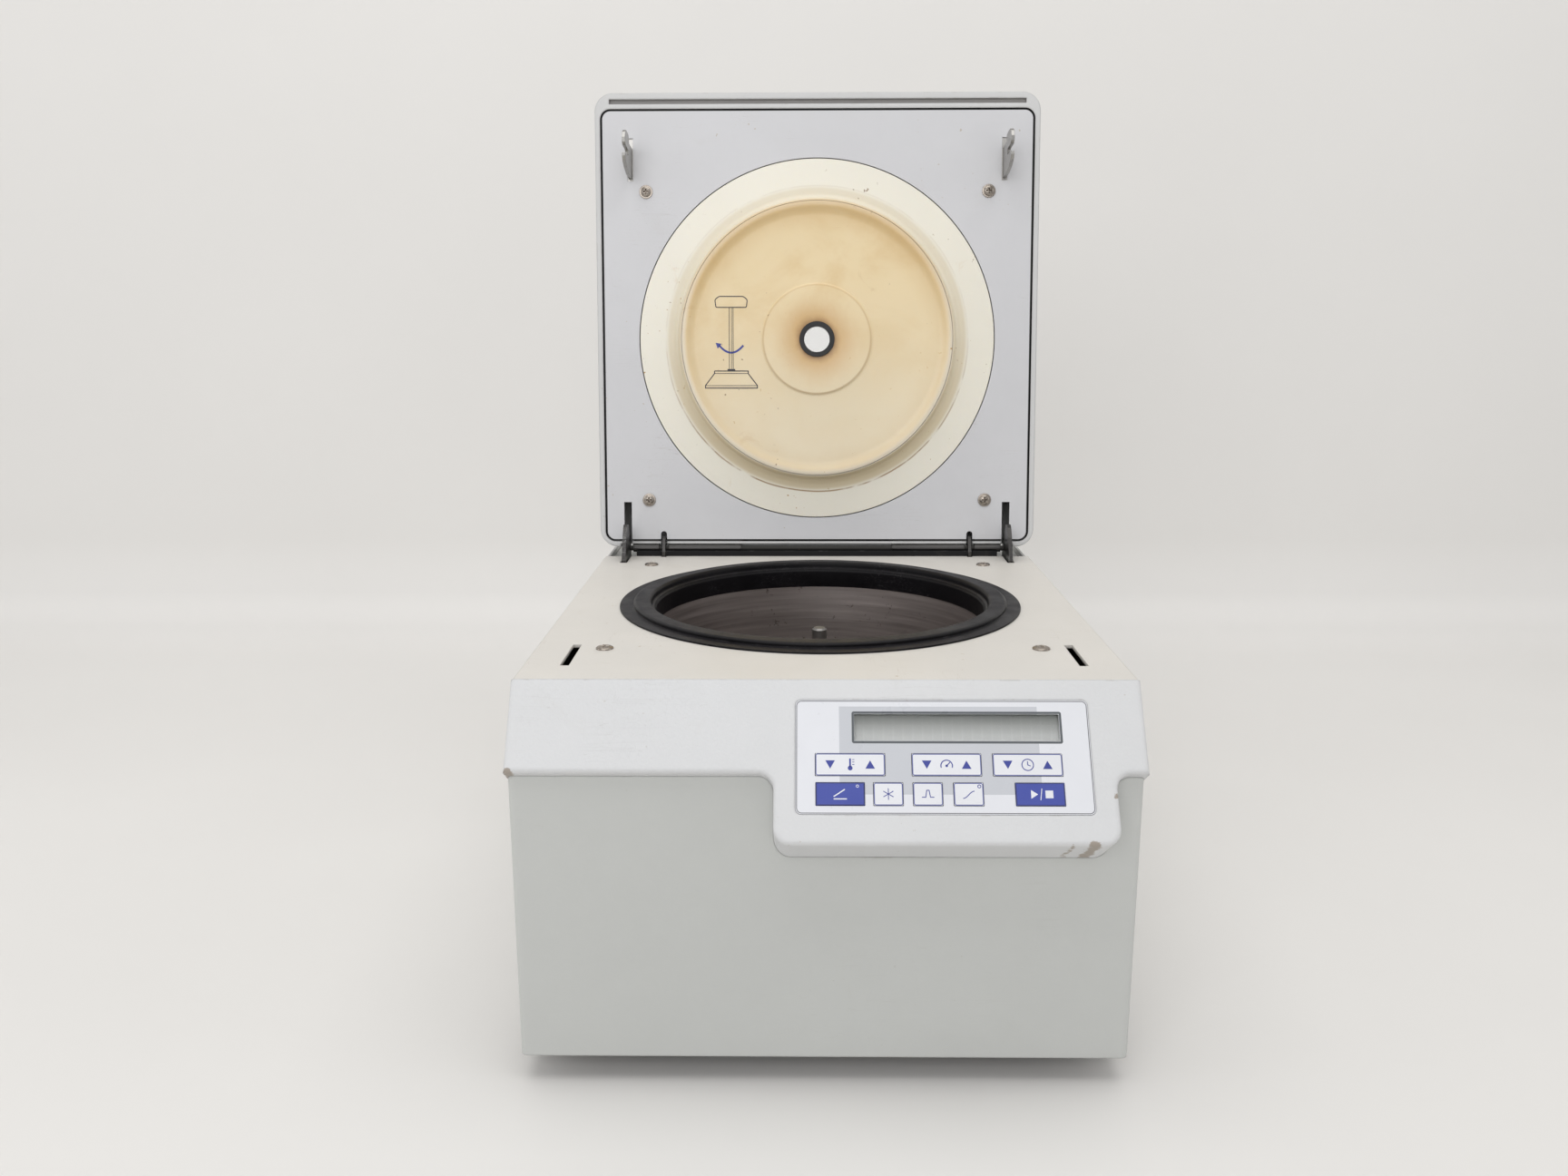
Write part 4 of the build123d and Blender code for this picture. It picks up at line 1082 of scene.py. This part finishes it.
def studio():
    """Pale floor running up into a pale wall, as one smooth sheet."""
    depth = np.array([-2.4, -1.2, 0.4, 0.62, 0.72, 0.76, 0.77, 0.77, 0.77])
    height = np.array([0.0, 0.0, 0.0, 0.0, 0.012, 0.05, 0.12, 1.2, 2.6])
    width = np.array([-2.6, 2.6])
    points = np.stack(
        [np.tile(width, (9, 1)), np.tile(depth[:, None], (1, 2)), np.tile(height[:, None], (1, 2))], -1
    )
    mesh = bpy.data.meshes.new("studio_floor")
    mesh.from_pydata(points.reshape(-1, 3).tolist(), [], grid_faces(9, 2))
    mesh.polygons.foreach_set("use_smooth", np.full(len(mesh.polygons), True))
    material, tree, surface = new_material("studio_paint", Roughness=0.6)
    place = node(tree, "TexCoord").outputs["Object"]
    colour = blend_colour(tree, noise(tree, place, 3.0, 3.0), (0.76, 0.745, 0.72), (0.80, 0.785, 0.76))
    wire(tree, colour, surface.inputs["Base Color"])
    mesh.materials.append(material)
    floor = bpy.data.objects.new("studio_floor", mesh)
    bpy.context.scene.collection.objects.link(floor)


def soft_light(name, spot, target, size, power, colour=(1.0, 1.0, 1.0)):
    lamp = bpy.data.lights.new(name, "AREA")
    lamp.shape, lamp.size, lamp.size_y = "RECTANGLE", size[0], size[1]
    lamp.energy, lamp.color = power, colour
    made = bpy.data.objects.new(name, lamp)
    made.location = spot
    made.rotation_euler = (Vector(target) - Vector(spot)).to_track_quat("-Z", "Y").to_euler()
    bpy.context.scene.collection.objects.link(made)


studio()
soft_light("overhead", (0.0, -0.35, 2.1), (0, 0, 0.2), (2.2, 1.6), 18, (1.0, 0.995, 0.985))
soft_light("front_fill", (-0.5, -2.3, 1.3), (0, 0, 0.25), (2.0, 1.2), 16, (0.99, 0.99, 1.0))
soft_light("left_side", (-2.0, -0.4, 1.1), (0, 0, 0.25), (1.0, 1.4), 5)
soft_light("right_side", (2.0, -0.4, 1.1), (0, 0, 0.25), (1.0, 1.4), 4)

world = bpy.data.worlds.new("studio_air")
world.use_nodes = True
world.node_tree.nodes["Background"].inputs["Color"].default_value = (0.98, 0.985, 1.0, 1.0)
world.node_tree.nodes["Background"].inputs["Strength"].default_value = 0.48
bpy.context.scene.world = world
bpy.context.scene.view_settings.view_transform = "Standard"


def camera():
    yaw, pitch, roll = radians(-0.716), radians(12.569), radians(-0.125)
    ahead = Vector((sin(yaw) * cos(pitch), cos(yaw) * cos(pitch), -sin(pitch)))
    level = Vector((cos(yaw), -sin(yaw), 0.0))
    over = level.cross(ahead)
    right = cos(roll) * level + sin(roll) * over
    up = -sin(roll) * level + cos(roll) * over
    lens = bpy.data.cameras.new("camera")
    lens.sensor_width, lens.lens = SENSOR, SENSOR * 1420.36 / 1728
    lens.clip_start, lens.clip_end = 0.02, 30
    made = bpy.data.objects.new("camera", lens)
    turn = Matrix((right, up, -ahead)).transposed().to_4x4()
    made.matrix_world = Matrix.Translation((-0.01333, -0.88360, 0.42319)) @ turn
    bpy.context.scene.collection.objects.link(made)
    bpy.context.scene.camera = made


camera()
